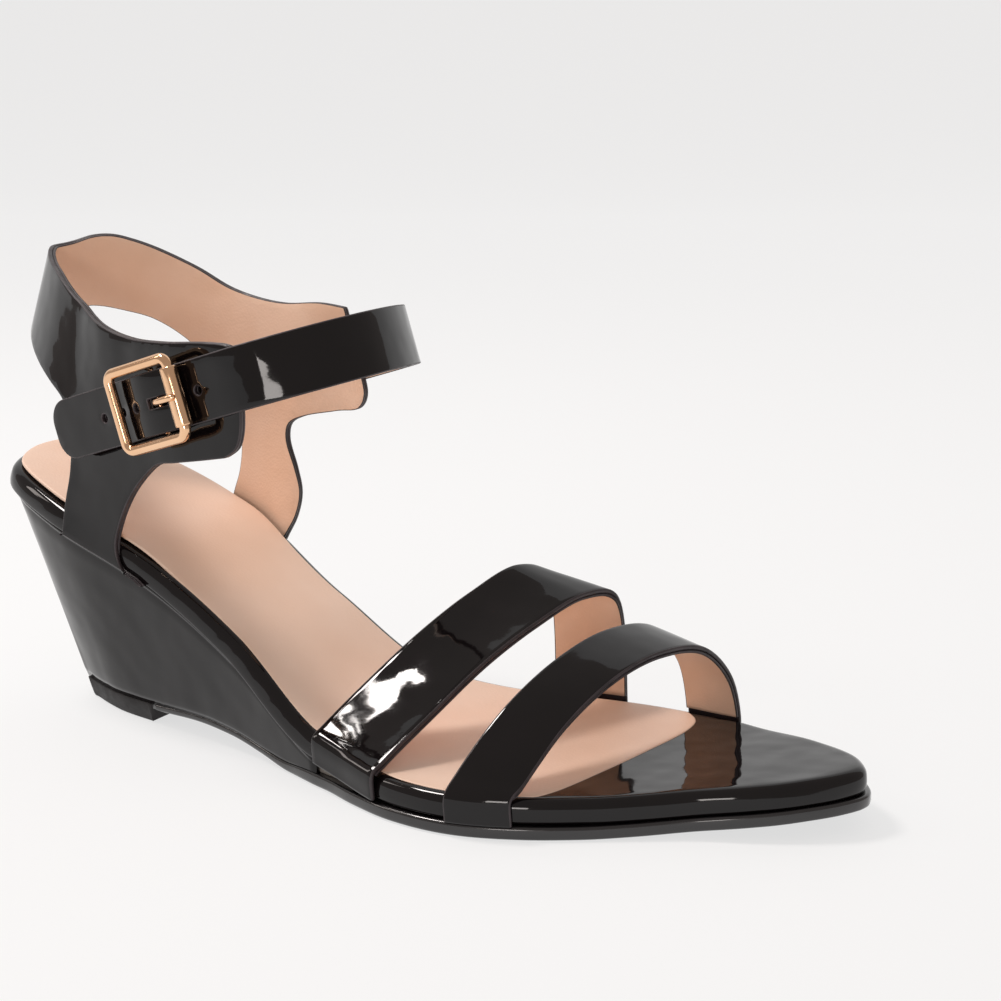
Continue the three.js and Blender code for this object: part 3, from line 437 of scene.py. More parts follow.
@dataclass(frozen=True)
class Finish:
    """A surface finish with colour mottling and two scales of relief.

    Attributes:
        name: the material's name.
        colour: main colour, sRGB hex.
        other: colour that it is mottled with.
        mottle: size of the mottling in millimetres.
        rough: roughness; rough_spread is how far it varies over the surface.
        coat: strength of a clear lacquer.
        wave: size and height of slow unevenness, in millimetres.
        grain: size and height of fine relief, in millimetres.
        stretch: how much longer the relief is along x and y than along z.
        glow: light given off, for paper lit from behind.
    """

    name: str
    colour: str
    other: str
    mottle: float = 12.0
    rough: float = 0.5
    rough_spread: float = 0.08
    metallic: float = 0.0
    ior: float = 1.5
    coat: float = 0.0
    coat_rough: float = 0.03
    wave: tuple[float, float] = (14.0, 0.0)
    grain: tuple[float, float] = (0.5, 0.02)
    pores: bool = False
    stretch: float = 1.0
    glow: float = 0.0

    def noise(self, tree: bpy.types.NodeTree, place: bpy.types.NodeSocket, size: float,
              detail: float = 2.0) -> bpy.types.NodeSocket:
        """Noise whose blobs are about size millimetres wide."""
        node = add_node(tree, "TexNoise", {"Vector": place}, in_Scale=1 / (size * MM), in_Detail=detail)
        return node.outputs["Fac"]

    def build(self) -> bpy.types.Material:
        """Makes the material."""
        material = bpy.data.materials.new(self.name)
        material.use_nodes = True
        tree = material.node_tree
        shader = tree.nodes["Principled BSDF"]
        coords = add_node(tree, "TexCoord").outputs["Object"]
        flat = 1 / self.stretch
        place = add_node(tree, "Mapping", {"Vector": coords}, in_Scale=(flat, flat, 1)).outputs[0]

        ramp = add_node(tree, "ValToRGB", {"Fac": self.noise(tree, coords, self.mottle)})
        ramp.color_ramp.elements[0].position = 0.35
        ramp.color_ramp.elements[0].color = linear(self.colour)
        ramp.color_ramp.elements[1].position = 0.7
        ramp.color_ramp.elements[1].color = linear(self.other)
        tree.links.new(ramp.outputs["Color"], shader.inputs["Base Color"])

        spread = add_node(
            tree, "MapRange", {"Value": self.noise(tree, coords, self.mottle * 0.6)},
            in_From_Min=0.3, in_From_Max=0.7, in_To_Min=max(self.rough - self.rough_spread, 0.02),
            in_To_Max=self.rough + self.rough_spread,
        )
        tree.links.new(spread.outputs["Result"], shader.inputs["Roughness"])
        shader.inputs["Metallic"].default_value = self.metallic
        if self.metallic < 0.5:
            shader.inputs["IOR"].default_value = self.ior
        shader.inputs["Coat Weight"].default_value = self.coat
        shader.inputs["Coat Roughness"].default_value = self.coat_rough
        shader.inputs["Emission Color"].default_value = linear("#ffffff")
        shader.inputs["Emission Strength"].default_value = self.glow

        slow = add_node(tree, "Bump", {"Height": self.noise(tree, place, self.wave[0], 1.0)},
                        in_Distance=self.wave[1] * MM, in_Strength=1.0)
        if self.pores:
            cells = add_node(tree, "TexVoronoi", {"Vector": place}, in_Scale=1 / (self.grain[0] * MM))
            fine_height = cells.outputs["Distance"]
        else:
            fine_height = self.noise(tree, place, self.grain[0])
        fine = add_node(tree, "Bump", {"Height": fine_height, "Normal": slow.outputs["Normal"]},
                        in_Distance=self.grain[1] * MM, in_Strength=1.0)
        tree.links.new(fine.outputs["Normal"], shader.inputs["Normal"])
        tree.links.new(slow.outputs["Normal"], shader.inputs["Coat Normal"])
        return material


@dataclass
class Finishes:
    """Every finish of the sandal.

    Patent leather is split leather under a thick clear polyurethane film: near black, with sharp
    reflections whose borders ripple. Its strap edges are cut and painted, which dulls them to a
    warm dark grey. Lining leather is natural tan pigskin, matt with fine pores.
    """

    patent: bpy.types.Material = field(init=False)
    wrapped: bpy.types.Material = field(init=False)
    edge: bpy.types.Material = field(init=False)
    tan: bpy.types.Material = field(init=False)
    sock: bpy.types.Material = field(init=False)
    rubber: bpy.types.Material = field(init=False)
    sole: bpy.types.Material = field(init=False)
    plate: bpy.types.Material = field(init=False)
    thread: bpy.types.Material = field(init=False)

    def __post_init__(self) -> None:
        """Makes the materials."""
        self.patent = Finish(
            "black_patent_leather", "#0a0708", "#0f0b0c", 20, 0.05, 0.02, ior=1.42,
            wave=(11, 0.34), grain=(1.6, 0.006)).build()
        # the same skin pulled over an edge, where it creases along its length
        self.wrapped = Finish(
            "black_patent_wrap", "#0a0708", "#0f0b0c", 20, 0.06, 0.02, ior=1.42,
            wave=(5, 0.28), grain=(1.6, 0.008), stretch=7.0).build()
        self.edge = Finish(
            "painted_cut_edge", "#2b2427", "#3a3134", 5, 0.42, 0.1, wave=(3, 0.10),
            grain=(0.5, 0.03)).build()
        self.tan = Finish(
            "tan_pigskin_lining", "#e6c2a8", "#ecccb5", 16, 0.55, 0.06, wave=(9, 0.12),
            grain=(0.7, 0.05), pores=True).build()
        self.sock = Finish(
            "tan_leather_sock", "#e8c8b2", "#eed1bd", 26, 0.48, 0.06, wave=(22, 0.20),
            grain=(0.8, 0.035), pores=True).build()
        # carbon-black rubber with the fine matt grain of its mould
        self.rubber = Finish(
            "black_heel_rubber", "#161415", "#1f1c1d", 6, 0.62, 0.08, wave=(4, 0.05),
            grain=(0.35, 0.03)).build()
        # thermoplastic rubber sole with a lacquered edge, softer in its shine than the patent
        self.sole = Finish(
            "lacquered_sole_rubber", "#0f0d0f", "#171416", 14, 0.24, 0.05, coat=0.6, coat_rough=0.1,
            wave=(9, 0.16), grain=(0.9, 0.012)).build()
        # rose-gold plate over polished zinc casting
        self.plate = Finish(
            "rose_gold_plate", "#f0c39b", "#f4cba6", 9, 0.13, 0.03, metallic=1.0, wave=(5, 0.02),
            grain=(0.6, 0.003)).build()
        self.thread = Finish(
            "bonded_black_thread", "#141214", "#201d20", 2, 0.4, 0.06, wave=(2, 0.02),
            grain=(0.25, 0.04)).build()

    def sheet(self) -> list[bpy.types.Material]:
        """Patent outside, painted edge, raw inside."""
        return [self.patent, self.edge, self.edge]

    def lining(self) -> list[bpy.types.Material]:
        """Glued side, painted edge, tan side."""
        return [self.edge, self.edge, self.tan]


class Hidden:
    """CAD pieces inside the sole that keep their own shape and get a real finish."""

    # node to (name, colour, other colour, roughness, metallic, grain)
    KINDS = {
        "steel": (["shank", "shank_rivet_1", "shank_rivet_2", "heel_screw", "heel_nail_1", "heel_nail_2",
                   "heel_nail_3", "heel_nail_4", "top_piece_pin_1", "top_piece_pin_2", "top_piece_pin_3"],
                  Finish("zinc_plated_steel", "#a9adb2", "#b9bdc1", 4, 0.32, 0.06, metallic=1.0)),
        "board": (["insole_board"], Finish("fibre_insole_board", "#a5845c", "#b3936c", 3, 0.9, 0.05)),
        "foam": (["heel_pad", "platform_filler"], Finish("cream_latex_foam", "#e3d8c4", "#eadfce", 3, 0.95,
                                                        0.03, grain=(0.6, 0.12), pores=True)),
        "plastic": (["wedge_core"], Finish("moulded_abs_wedge", "#857f78", "#8d8780", 10, 0.5, 0.05)),
    }

    def dress(self) -> None:
        """Puts the finishes in the nodes' own slots."""
        for nodes, finish in self.KINDS.values():
            material = finish.build()
            for name in nodes:
                for slot in frame["nodes"][name].material_slots:
                    slot.material = material


def keep(piece: bpy.types.Object, body: Body, slot: str, *nodes: str) -> bpy.types.Object:
    """Parents a finished piece to its CAD body's empty, hides the CAD nodes it stands for and logs it.

    Args:
        piece: the piece.
        body: the CAD body it rides on.
        slot: the record's material slot; not used.
        nodes: CAD nodes it stands for.

    Returns:
        The piece.
    """
    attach(piece, body.value)
    if nodes:
        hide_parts(*nodes)
    LOG.info("%s rides %s", piece.name, body.value)
    return piece


# ------------------------------------------------------------------ platform and wedge
@dataclass
class Last:
    """Plan outline and heights that the sole unit and straps share.

    Attributes:
        length: back of the heel to the tip of the toe.
        seat: height of the platform's top at the heel.
    """

    length: float
    seat: float
    ball_width: float = 83.0
    fore_top: float = 9.3
    toe_spring: float = 5.2
    band: float = 6.0
    pad: float = 1.5
    breast: float = 53.0
    tread_start: float = 0.444
    shank_sole: float = 2.0
    # share of length, outer and inner reach as shares of the ball width
    OUTLINE = (
        (0.006, -0.096, 0.133), (0.029, -0.211, 0.223), (0.103, -0.293, 0.349), (0.226, -0.334, 0.323),
        (0.37, -0.378, 0.23), (0.514, -0.469, 0.314), (0.6, -0.548, 0.389), (0.667, -0.554, 0.429),
        (0.733, -0.488, 0.446), (0.811, -0.348, 0.429), (0.864, -0.25, 0.366), (0.914, -0.184, 0.305),
        (0.957, -0.108, 0.226), (0.986, -0.03, 0.146),
    )
    HEEL, TOE = (0, 0.024), (1, 0.06)
    RISE = ((-0.2, 1.19), (0, 1), (0.123, 0.835), (0.247, 0.664), (0.37, 0.394), (0.494, 0.061),
            (0.617, 0), (0.75, 0))
    SPRING = ((0.78, 0), (0.823, 0.1), (0.926, 0.63), (1, 1))
    ARCH = ((0.22, 0.86), (0.29, 1), (0.346, 0.8), (0.395, 0.38), (0.444, 0))
    ARCH_RISE = 4.2
    HEEL_LEAN, LEAN_REACH, SIDE_TAPER = 0.35, 95.0, 0.167

    def __post_init__(self) -> None:
        """Sets out the outline."""
        plan = [self.HEEL, *[(a, b) for a, b, _ in self.OUTLINE], self.TOE,
                *[(a, c) for a, _, c in reversed(self.OUTLINE)]]
        scale = [self.length, self.ball_width]
        self.loop = Spline([(a * scale[0], b * scale[1], 0) for a, b in plan], closed=True)
        self.places = np.linspace(0, 1, 4001)
        self.table = self.loop.at(self.places)

    def spring(self, x: Array) -> Array:
        """Lift of the toe at x."""
        return self.toe_spring * smooth_rows(self.SPRING, np.asarray(x) / self.length)

    def top(self, x: Array) -> Array:
        """Height of the platform's top at x."""
        rise = (self.seat - self.fore_top) * smooth_rows(self.RISE, np.asarray(x) / self.length)
        return self.fore_top + rise + self.spring(x)

    def tread(self, x: Array) -> Array:
        """Height of the outsole's underside at x."""
        share = np.asarray(x, float) / self.length
        arch = self.ARCH_RISE * smooth_rows(self.ARCH, share) * (share < self.tread_start)
        return arch + self.spring(x)

    def sole_thickness(self, x: Array, gap: float) -> Array:
        """Thickness of the outsole at x, which in front ends a gap below the band."""
        rows = ((0.40, self.shank_sole), (0.48, self.fore_top - self.band - gap))
        return smooth_rows(rows, x / self.length)

    def parameter(self, x: Array, side: Side) -> Array:
        """Outline parameter at x on one side of the foot."""
        half = len(self.places) // 2
        rows = slice(0, half + 1) if side is Side.OUTER else slice(half, None)
        xs, ts = self.table[rows, 0], self.places[rows]
        if side is Side.INNER:
            xs, ts = xs[::-1], ts[::-1]
        return np.interp(x, np.maximum.accumulate(xs), ts)

    def around(self, t: Array, inset: Array | float = 0.0) -> tuple[Array, Array]:
        """Points of the outline moved inward, and its outward direction there."""
        step = 5e-4
        tangent = unit(self.loop.at((t + step) % 1) - self.loop.at((t - step) % 1))
        outward = np.stack([tangent[:, 1], -tangent[:, 0], np.zeros(len(tangent))], 1)
        return self.loop.at(t % 1) - outward * np.reshape(inset, (-1, 1)), outward

    def edge(self, x: Array | float, side: Side, inset: float = 0.0) -> Array:
        """Points on the outline at x, moved inward."""
        return self.around(self.parameter(np.atleast_1d(x), side), inset)[0]

    def plan_loop(self, inset: float, count: int = 480) -> Array:
        """The whole outline as (x, y) rows, anticlockwise."""
        return self.around(np.arange(count) / count, inset)[0][:, :2]


@dataclass
class Sole:
    """Platform cover, sock, wedge cover, outsole and top piece."""

    last: Last
    finishes: Finishes
    margin: float = 2.2
    ledge: float = 1.2
    lift: float = 5.3
    GAP = 0.3  # between the outsole and the pieces round it
    SEAM = 0.08  # hairline where wedge or outsole meets the band
    WEDGE_INSET = 0.4
    WEDGE_END = 0.485  # share of the length where the wedge cover ends
    # front edge of the sock from the outer to the inner side
    FRONT = ((178, -41), (182, -32), (185.5, -15), (188.5, 4), (190.5, 22), (189, 30), (182, 37))

    def front(self, inset: float) -> Array:
        """The sock's front edge as (x, y) rows, moved back by inset."""
        curve = Spline([(x - inset, y, 0) for x, y in self.FRONT]).at(np.linspace(0, 1, 60))
        return curve[:, :2]

    def sock_loop(self, inset: float) -> Array:
        """Outline of the sock, or of the window it fills, as (x, y) rows."""
        loop = self.last.plan_loop(self.margin + inset)
        front = self.front(inset)
        limit = np.interp(loop[:, 1], front[:, 1], front[:, 0])
        loop = np.stack([np.minimum(loop[:, 0], limit), loop[:, 1]], 1)
        return resample(loop, 0.5)

    def cover(self) -> None:
        """Patent cover: wrapped band all round and the toe in front of the sock."""
        last = self.last
        turn = np.linspace(0, math.pi / 2, 6)
        radius, foot = 2.4, 1.0
        rim = [(-radius + radius * math.sin(a), -radius + radius * math.cos(a)) for a in turn]
        rim += [(0.1, -3.4), (0.1, -4.4)]
        rim += [(-foot + foot * math.cos(a), -last.band + foot - foot * math.sin(a)) for a in turn]
        rim += [(-3.2, -last.band), (-3.2, -last.band + 0.8), (-1.0, -last.band + 1), (-1.2, -3.0),
                (-2.6, -1.2)]
        panel = Panel(
            lambda flat: np.column_stack([flat, last.top(flat[:, 0])]), last.plan_loop(0), rim,
            pitch=2.2, edge_pitch=1.3, thickness=1.0)
        self.edge_cover(panel)

    def edge_cover(self, panel: Panel) -> None:
        """Builds the cover and puts the creased finish on its band."""
        finishes = [self.finishes.patent, self.finishes.wrapped, self.finishes.edge]
        piece = panel.build("patent_platform_cover", finishes)
        keep(piece, Body.SHOE, "black_patent_leather", "platform_cover")

    def sock(self) -> None:
        """Tan sock lying on the platform, raised a little over the heel pad."""
        last = self.last
        rows = ((0.23, 1.0), (0.31, 0.0))

        def surface(flat: Array) -> Array:
            x = flat[:, 0]
            height = last.top(x) + 0.25 + last.pad * smooth_rows(rows, x / last.length)
            return np.column_stack([flat, height])

        loop = self.sock_loop(0.25)
        panel = Panel(surface, loop, rounded_edge(1.0, 0.4), pitch=2.4, edge_pitch=1.2, thickness=1.0)
        finishes = [self.finishes.sock, self.finishes.sock, self.finishes.sock]
        keep(panel.build("tan_sock", finishes), Body.SHOE, "tan_lining_leather", "sock")

    def outsole(self) -> None:
        """Black sole from the breast of the top piece to the toe."""
        last = self.last
        x0 = last.breast + self.GAP
        share = np.concatenate([np.linspace(x0, last.length * 0.97, 150),
                                last.length * (1 - 0.03 * np.cos(np.linspace(0, math.pi / 2, 26))[1:])])
        lean = last.SIDE_TAPER * np.maximum(0, last.top(share) - last.band - last.tread(share) - 0.6)
        lean *= smooth_rows(((0.5, 1), (0.545, 0)), share / last.length)
        inset = smooth_rows(((0.3, 1.2), (0.56, -self.ledge)), share / last.length) + lean
        outer = last.around(last.parameter(share, Side.OUTER), inset)[0][:, :2]
        inner = last.around(last.parameter(share, Side.INNER), inset)[0][:, :2]
        loop = np.vstack([outer, inner[::-1]])
        loop[:, 0] = np.maximum(loop[:, 0], x0)

        def thickness(flat: Array) -> Array:
            return last.sole_thickness(flat[:, 0], self.SEAM)

        def surface(flat: Array) -> Array:
            x = flat[:, 0]
            return np.column_stack([flat, last.tread(x) + thickness(flat)])

        rim = rounded_edge(last.shank_sole, 0.8, 4)
        panel = Panel(surface, loop, rim, pitch=2.6, edge_pitch=1.2, thickness=thickness)
        finishes = [self.finishes.sole] * 3
        keep(panel.build("black_outsole", finishes), Body.SHOE, "black_sole_unit", "outsole")

    def wall(self, t: Array, top: Array, bottom: Array, inset: float) -> Callable[[float, float], Array]:
        """The wedge's leaning wall.

        Args:
            t: outline parameters round the heel.
            top: height of the wall's top at each.
            bottom: height of its bottom at each.
            inset: distance in from the platform's outline.

        Returns:
            A function of (share down the wall, outward offset) that gives a row of points.
        """
        last = self.last
        point, outward = last.around(t, inset)
        forward = last.HEEL_LEAN * np.maximum(0, 1 - last.loop.at(t % 1)[:, 0] / last.LEAN_REACH)
        lean = np.stack([forward, -last.SIDE_TAPER * outward[:, 1], -np.ones(len(t))], 1)

        def row(share: float, out: float) -> Array:
            height = top + (bottom - top) * share
            place = point + outward * out
            base = np.column_stack([place[:, :2], top])
            return base + lean * (top - height)[:, None]

        return row

    def round_heel(self, end: float, count: int = 150) -> Array:
        """Outline parameters from x = end on the outer side round the heel to the inner side."""
        last = self.last
        first = last.parameter(np.array([end]), Side.OUTER)[0]
        final = last.parameter(np.array([end]), Side.INNER)[0] - 1
        return np.linspace(first, final, count)

    def wedge(self) -> None:
        """Patent cover of the wedge, its top edge folded into a fine bead."""
        last = self.last
        t = self.round_heel(last.length * self.WEDGE_END)
        x = last.around(t, self.WEDGE_INSET)[0][:, 0]
        top = last.top(x) - last.band - self.SEAM
        thick = last.sole_thickness(x, self.GAP)
        sole = np.where(x < last.breast + self.GAP, self.lift, last.tread(x) + thick)
        bottom = np.minimum(sole + 0.1, top - 0.1)
        row = self.wall(t, top, bottom, self.WEDGE_INSET)
        height = np.maximum(top - bottom, 0.2)
        rings = []
        # (millimetres down, out); the bead is folded leather 1.5 mm high
        bead = [(0, -0.5), (0.05, 0.1), (0.3, 0.32), (0.8, 0.36), (1.3, 0.26), (1.55, 0.0), (1.75, -0.12),
                (2.1, 0.0)]
        for down, out in bead:
            share = np.minimum(down / height, 0.5 + 0.01 * down)
            rings.append(self.blended(row, share, out * np.clip(height / 6, 0.2, 1)))
        for share in np.linspace(0.08, 1, 18):
            lowest = 0.0 if share < 0.99 else -0.25
            start = np.minimum(2.6 / height, 0.55)
            rings.append(self.blended(row, start + (1 - start) * share, np.full(len(t), lowest)))
        rings.append(self.blended(row, np.ones(len(t)), np.full(len(t), -1.2)))
        rings.append(self.blended(row, np.zeros(len(t)), np.full(len(t), -1.2)))
        stack = np.array(rings).transpose(1, 0, 2)
        points, faces, slots = loft(stack)
        piece = make_mesh("patent_wedge_cover", points, faces, slots, [self.finishes.patent])
        keep(piece, Body.SHOE, "black_patent_leather", "wedge_cover")

    @staticmethod
    def blended(row: Callable[[float, float], Array], share: Array, out: Array) -> Array:
        """One ring of the wall with its own share down and offset at each place."""
        return row(share, out[:, None] if np.ndim(out) else out)

    def top_piece(self) -> None:
        """Rubber top piece with a straight breast."""
        last = self.last
        t = self.round_heel(last.breast - 7, 120)
        x = last.around(t, self.WEDGE_INSET)[0][:, 0]
        top = last.top(x) - last.band
        row = self.wall(t, top, np.zeros(len(t)), self.WEDGE_INSET)
        rings = []
        for height, inset in ((self.lift, 1.0), (self.lift, 0.35), (self.lift - 0.35, 0.0), (2.6, -0.05),
                              (0.5, 0.0), (0.12, 0.12), (0, 0.5), (0, 1.4)):
            share = (top - height) / top
            ring = row(share, -inset)
            front = last.breast - inset * 0.6
            ring[:, 0] = np.minimum(ring[:, 0], front)
            ring[[0, -1], 0] = front
            rings.append(ring)
        points, faces, slots = loft(np.array(rings))
        piece = make_mesh("rubber_top_piece", points, faces, slots, [self.finishes.rubber])
        keep(piece, Body.SHOE, "heel_rubber", "top_piece")

    def build(self) -> None:
        """Builds every piece of the sole."""
        self.cover()
        self.sock()
        self.outsole()
        self.wedge()
        self.top_piece()


# ------------------------------------------------------------------ straps over the forefoot
@dataclass
class FootStrap:
    """A strap from one edge of the platform to the other.

    Attributes:
        node: its CAD node.
        outer: x of the rear and front edge at the outer side; inner is the same at the inner side.
        crest: rows of share of the way across, rise of the rear edge, rise of the front edge.
    """

    node: str
    outer: tuple[float, float]
    inner: tuple[float, float]
    crest: Profile
    last: Last
    finishes: Finishes
    leather: float = 1.2
    lining: float = 0.8
    gap: float = 0.3

    def surface(self, steps: int, across: int) -> tuple[Array, Array]:
        """Points of the outer face and its outward normals, as step by place across by 3."""
        last, columns = self.last, []
        for v in np.linspace(0, 1, across):
            feet = []
            for side, (rear, front) in ((Side.OUTER, self.outer), (Side.INNER, self.inner)):
                feet.append(last.edge(rear + (front - rear) * v, side, -(self.gap + self.leather))[0])
            rows = []
            for share, rear_rise, front_rise in self.crest:
                p = feet[0] + (feet[1] - feet[0]) * share
                rows.append([p[0], p[1], last.top(p[0]) + rear_rise + (front_rise - rear_rise) * v])
            foot = [[[p[0], p[1], last.top(p[0]) - last.band], [p[0], p[1], last.top(p[0]) + 0.5]]
                    for p in feet]
            curve = Spline([*foot[0], *rows, *foot[1][::-1]])
            columns.append(curve.at(np.linspace(0, 1, steps)))
        grid = np.array(columns).transpose(1, 0, 2)
        normal = unit(np.cross(np.gradient(grid, axis=1), np.gradient(grid, axis=0)))
        return grid, normal

    def strip(self, name: str, depth: float, thickness: float, finishes: list[bpy.types.Material],
              first: float = 0.0) -> bpy.types.Object:
        """One layer of the strap as a closed mesh with rounded edges.

        Args:
            name: the piece's name.
            depth: distance of its outer face below the strap's own.
            thickness: thickness of the layer.
            finishes: outer face, edge, inner face.
            first: share of the strap left off at both feet.

        Returns:
            The object.
        """
        steps, across = 150, 15
        grid, normal = self.surface(steps, across)
        begin = round(first * steps)
        grid, normal = grid[begin:steps - begin], normal[begin:steps - begin]
        sideways = unit(np.gradient(grid, axis=1))
        half = thickness / 2
        turn = np.linspace(0, math.pi, 7)[1:-1]
        rings = []
        for row, up, side in zip(grid, normal, sideways):
            upper = row - up * depth
            lower = upper - up * thickness
            middle = (upper + lower) / 2
            # the faces stop short of the edge by the radius of its round
            upper[0] += side[0] * half * 0.8
            lower[0] += side[0] * half * 0.8
            upper[-1] -= side[-1] * half * 0.8
            lower[-1] -= side[-1] * half * 0.8
            front = [middle[-1] + side[-1] * half * 0.8 * (math.sin(a) - 1) + up[-1] * half * math.cos(a)
                     for a in turn]
            rear = [middle[0] - side[0] * half * 0.8 * (math.sin(a) - 1) - up[0] * half * math.cos(a)
                    for a in turn]
            rings.append(np.vstack([upper, front, lower[::-1], rear]))
        slots = [0] * (across - 1) + [1] * (len(turn) + 1) + [2] * (across - 1) + [1] * (len(turn) + 1)
        points, faces, numbers = loft(np.array(rings), slots=slots)
        return make_mesh(name, points, faces, numbers, finishes)

    def build(self) -> None:
        """Builds the patent strap and its lining."""
        outer = self.strip(f"patent_{self.node}", 0, self.leather, self.finishes.sheet())
        keep(outer, Body.SHOE, "black_patent_leather", self.node)
        inner = self.strip(f"tan_{self.node}_lining", self.leather + SKIN_GAP, self.lining,
                           self.finishes.lining(), first=0.115)
        keep(inner, Body.SHOE, "tan_lining_leather", f"{self.node}_lining")


# ------------------------------------------------------------------ heel loop
@dataclass
class HeelLoop:
    """Heel loop with a tab at each side, cut in one piece from patent leather and lined."""

    last: Last
    finishes: Finishes
    leather: float = 1.2
    lining: float = 0.8
    gap: float = 0.3
    crown: float = 61.6
    # upper (x, y), lower (x, y, z from the seat); a lower point of x alone stands on the platform
    RUNGS = (
        (100, -33.2, 100, -34, -6.4), (88, -32.8, 88, -33.6, -6.4), (74, -31.6, 74, -32.4, -6.4),
        (62, -29.3, 62), (57, -27.6, 57), (51, -25.8, 51), (45, -23.2, 45), (40, -19.8, 39),
        (35, -16.2, 33), (29, -13.4, 28), (22, -9.3, 17, -20.5, 3.6), (14, -3.5, 5, -13, 8.6),
        (8.5, 1.5, -5, -4.5, 8.6), (6, 5.5, -9.5, 5, 8.6), (7.5, 10.5, -8.5, 13, 8.6),
        (11, 15, -3, 21, 8.6), (16, 19.3, 6, 27, 3.6), (24, 23.8, 18, 30, 3.6), (33, 27, 28),
        (42, 29.3, 38), (52, 30.5, 48), (62, 31, 58), (72, 31.2, 68), (84, 31.2, 84, 30.5, -6.4),
        (96, 31, 96, 30.5, -6.4),
    )
    # outlines of the two sides, (x, z from the seat): each row is one smooth run
    OUTER_DOWN = (
        ((93, 39.4), (95.6, 28.6), (96, 19.6), (94.5, 14.6), (91, 11.9)),
        ((91, 11.9), (83, 10.3), (74, 8.6), (67.5, 7.2), (62.5, 3.6), (57, -2.4), (53, -9.4), (51, -16.4),
         (52.5, -21.4), (57, -26.4), (60, -32)),
        ((60, -40), (30, -40)),
        ((31, -30), (31.5, -18), (32, -8.4), (33.4, 1.6), (32.6, 10.6), (29, 18), (22, 22.6), (14, 26.6),
         (6, 30.6), (-2, 35.6), (-20, 38)),
    )
    OUTER_TOP = (
        ((-20, 57), (4, 55.6), (12, 52.9), (19.5, 50.6), (31, 45.4), (43, 40.9), (57, 38.3), (70, 38.5),
         (83, 39.6), (91, 39.8), (93, 39.4)),
    )
    INNER_DOWN = (
        ((84, 40.8), (88.5, 25.6), (90.3, 17.6), (88.3, 13.9), (81, 12.6), (72, 10.6), (67.5, 8),
         (66.8, 4.1), (69.8, -3.9), (71.3, -10.4), (70, -17.4), (66, -24.9), (63, -32)),
        ((63, -40), (40, -40)),
        ((44, -26), (46.5, -14.4), (49, -7.4), (50, -0.4), (49.7, 5.6), (47.5, 12.6), (43, 18.6),
         (37, 24.6), (30, 30.1), (22, 34.1), (15, 36.1), (5, 37.9), (-2, 35.6), (-20, 35.6)),
    )
    INNER_TOP = (
        ((-20, 53), (4, 55.6), (10, 57.8), (14, 57.9), (19, 56.4), (26, 53.6), (36, 49.1), (46, 44.1),
         (56, 41.6), (65, 40.8), (76, 41.6), (84, 40.8)),
    )
    FLAT_LENGTH, FLAT_HEIGHT = 240.0, 80.0

    def __post_init__(self) -> None:
        """Sets out the curves along the loop's upper and lower rungs."""
        upper, lower = [], []
        for i, rung in enumerate(self.RUNGS):
            upper.append((rung[0], rung[1], self.last.seat + self.crown))
            if len(rung) == 3:
                side = Side.OUTER if i < len(self.RUNGS) / 2 else Side.INNER
                foot = self.last.edge(rung[2], side, -(self.gap + self.leather))[0]
                lower.append((foot[0], foot[1], self.last.top(foot[0]) - self.last.band))
            else:
                lower.append((rung[2], rung[3], self.last.seat + rung[4]))
        self.upper, self.lower = Spline(upper), Spline(lower)
        self.steps = np.linspace(0, 1, 2401)
        self.low, self.high = self.lower.at(self.steps), self.upper.at(self.steps)

    def flat_place(self, x: float, z: float, side: Side) -> tuple[float, float] | None:
        """Flat place of a point of the loop, given from the side.

        Args:
            x: distance from the heel's back.
            z: height above the ground.
            side: side of the foot.

        Returns:
            (u, v), or None past the back of the loop.
        """
        share = (z - self.low[:, 2]) / (self.high[:, 2] - self.low[:, 2])
        xs = self.low[:, 0] + (self.high[:, 0] - self.low[:, 0]) * share
        back = int(np.argmin(xs))
        rows = np.arange(back + 1) if side is Side.OUTER else np.arange(len(xs) - 1, back - 1, -1)
        past = np.nonzero(xs[rows] <= x)[0]
        if len(past) == 0:
            return None
        k = past[0]
        near, far = rows[max(k - 1, 0)], rows[k]
        w = 0 if near == far else (xs[near] - x) / max(xs[near] - xs[far], 1e-9)
        step = self.steps[near] + (self.steps[far] - self.steps[near]) * w
        height = share[near] + (share[far] - share[near]) * w
        return step * self.FLAT_LENGTH, max(height, 0.0) * self.FLAT_HEIGHT

    def run(self, rows: Sequence[Profile], side: Side) -> list[tuple[float, float]]:
        """Flat points of smooth runs given from the side."""
        flat = []
        for row in rows:
            curve = Spline([(x, z, 0) for x, z in row]).at(np.linspace(0, 1, 20 * len(row)))
            for x, z, _ in curve:
                place = self.flat_place(x, self.last.seat + z, side)
                if place is not None:
                    flat.append(place)
        return flat

    def outline(self) -> Array:
        """The whole cut outline, anticlockwise in flat (u, v)."""
        outer = self.run(self.OUTER_DOWN, Side.OUTER)
        inner = self.run(self.INNER_DOWN, Side.INNER)[::-1]
        top = self.run(self.INNER_TOP, Side.INNER)[::-1] + self.run(self.OUTER_TOP, Side.OUTER)
        return resample(np.array(outer + inner + top), 0.4)

    def surface(self, flat: Array) -> Array:
        """Points of the loop's outer face at flat (u, v) rows."""
        t = np.clip(flat[:, 0] / self.FLAT_LENGTH, 0, 1)
        share = flat[:, 1:2] / self.FLAT_HEIGHT
        return self.lower.at(t) * (1 - share) + self.upper.at(t) * share

    def build(self) -> None:
        """Builds the patent skin and its lining."""
        outline = self.outline()
        outer = Panel(self.surface, outline, rounded_edge(self.leather, 0.35), facing=-1, pitch=2.0,
                      edge_pitch=0.9, thickness=self.leather)
        piece = outer.build("patent_heel_loop", self.finishes.sheet())
        keep(piece, Body.SHOE, "black_patent_leather", "quarter")
        depth = self.leather + SKIN_GAP

        def under(flat: Array) -> Array:
            return self.surface(flat) + outer.normals(flat) * depth

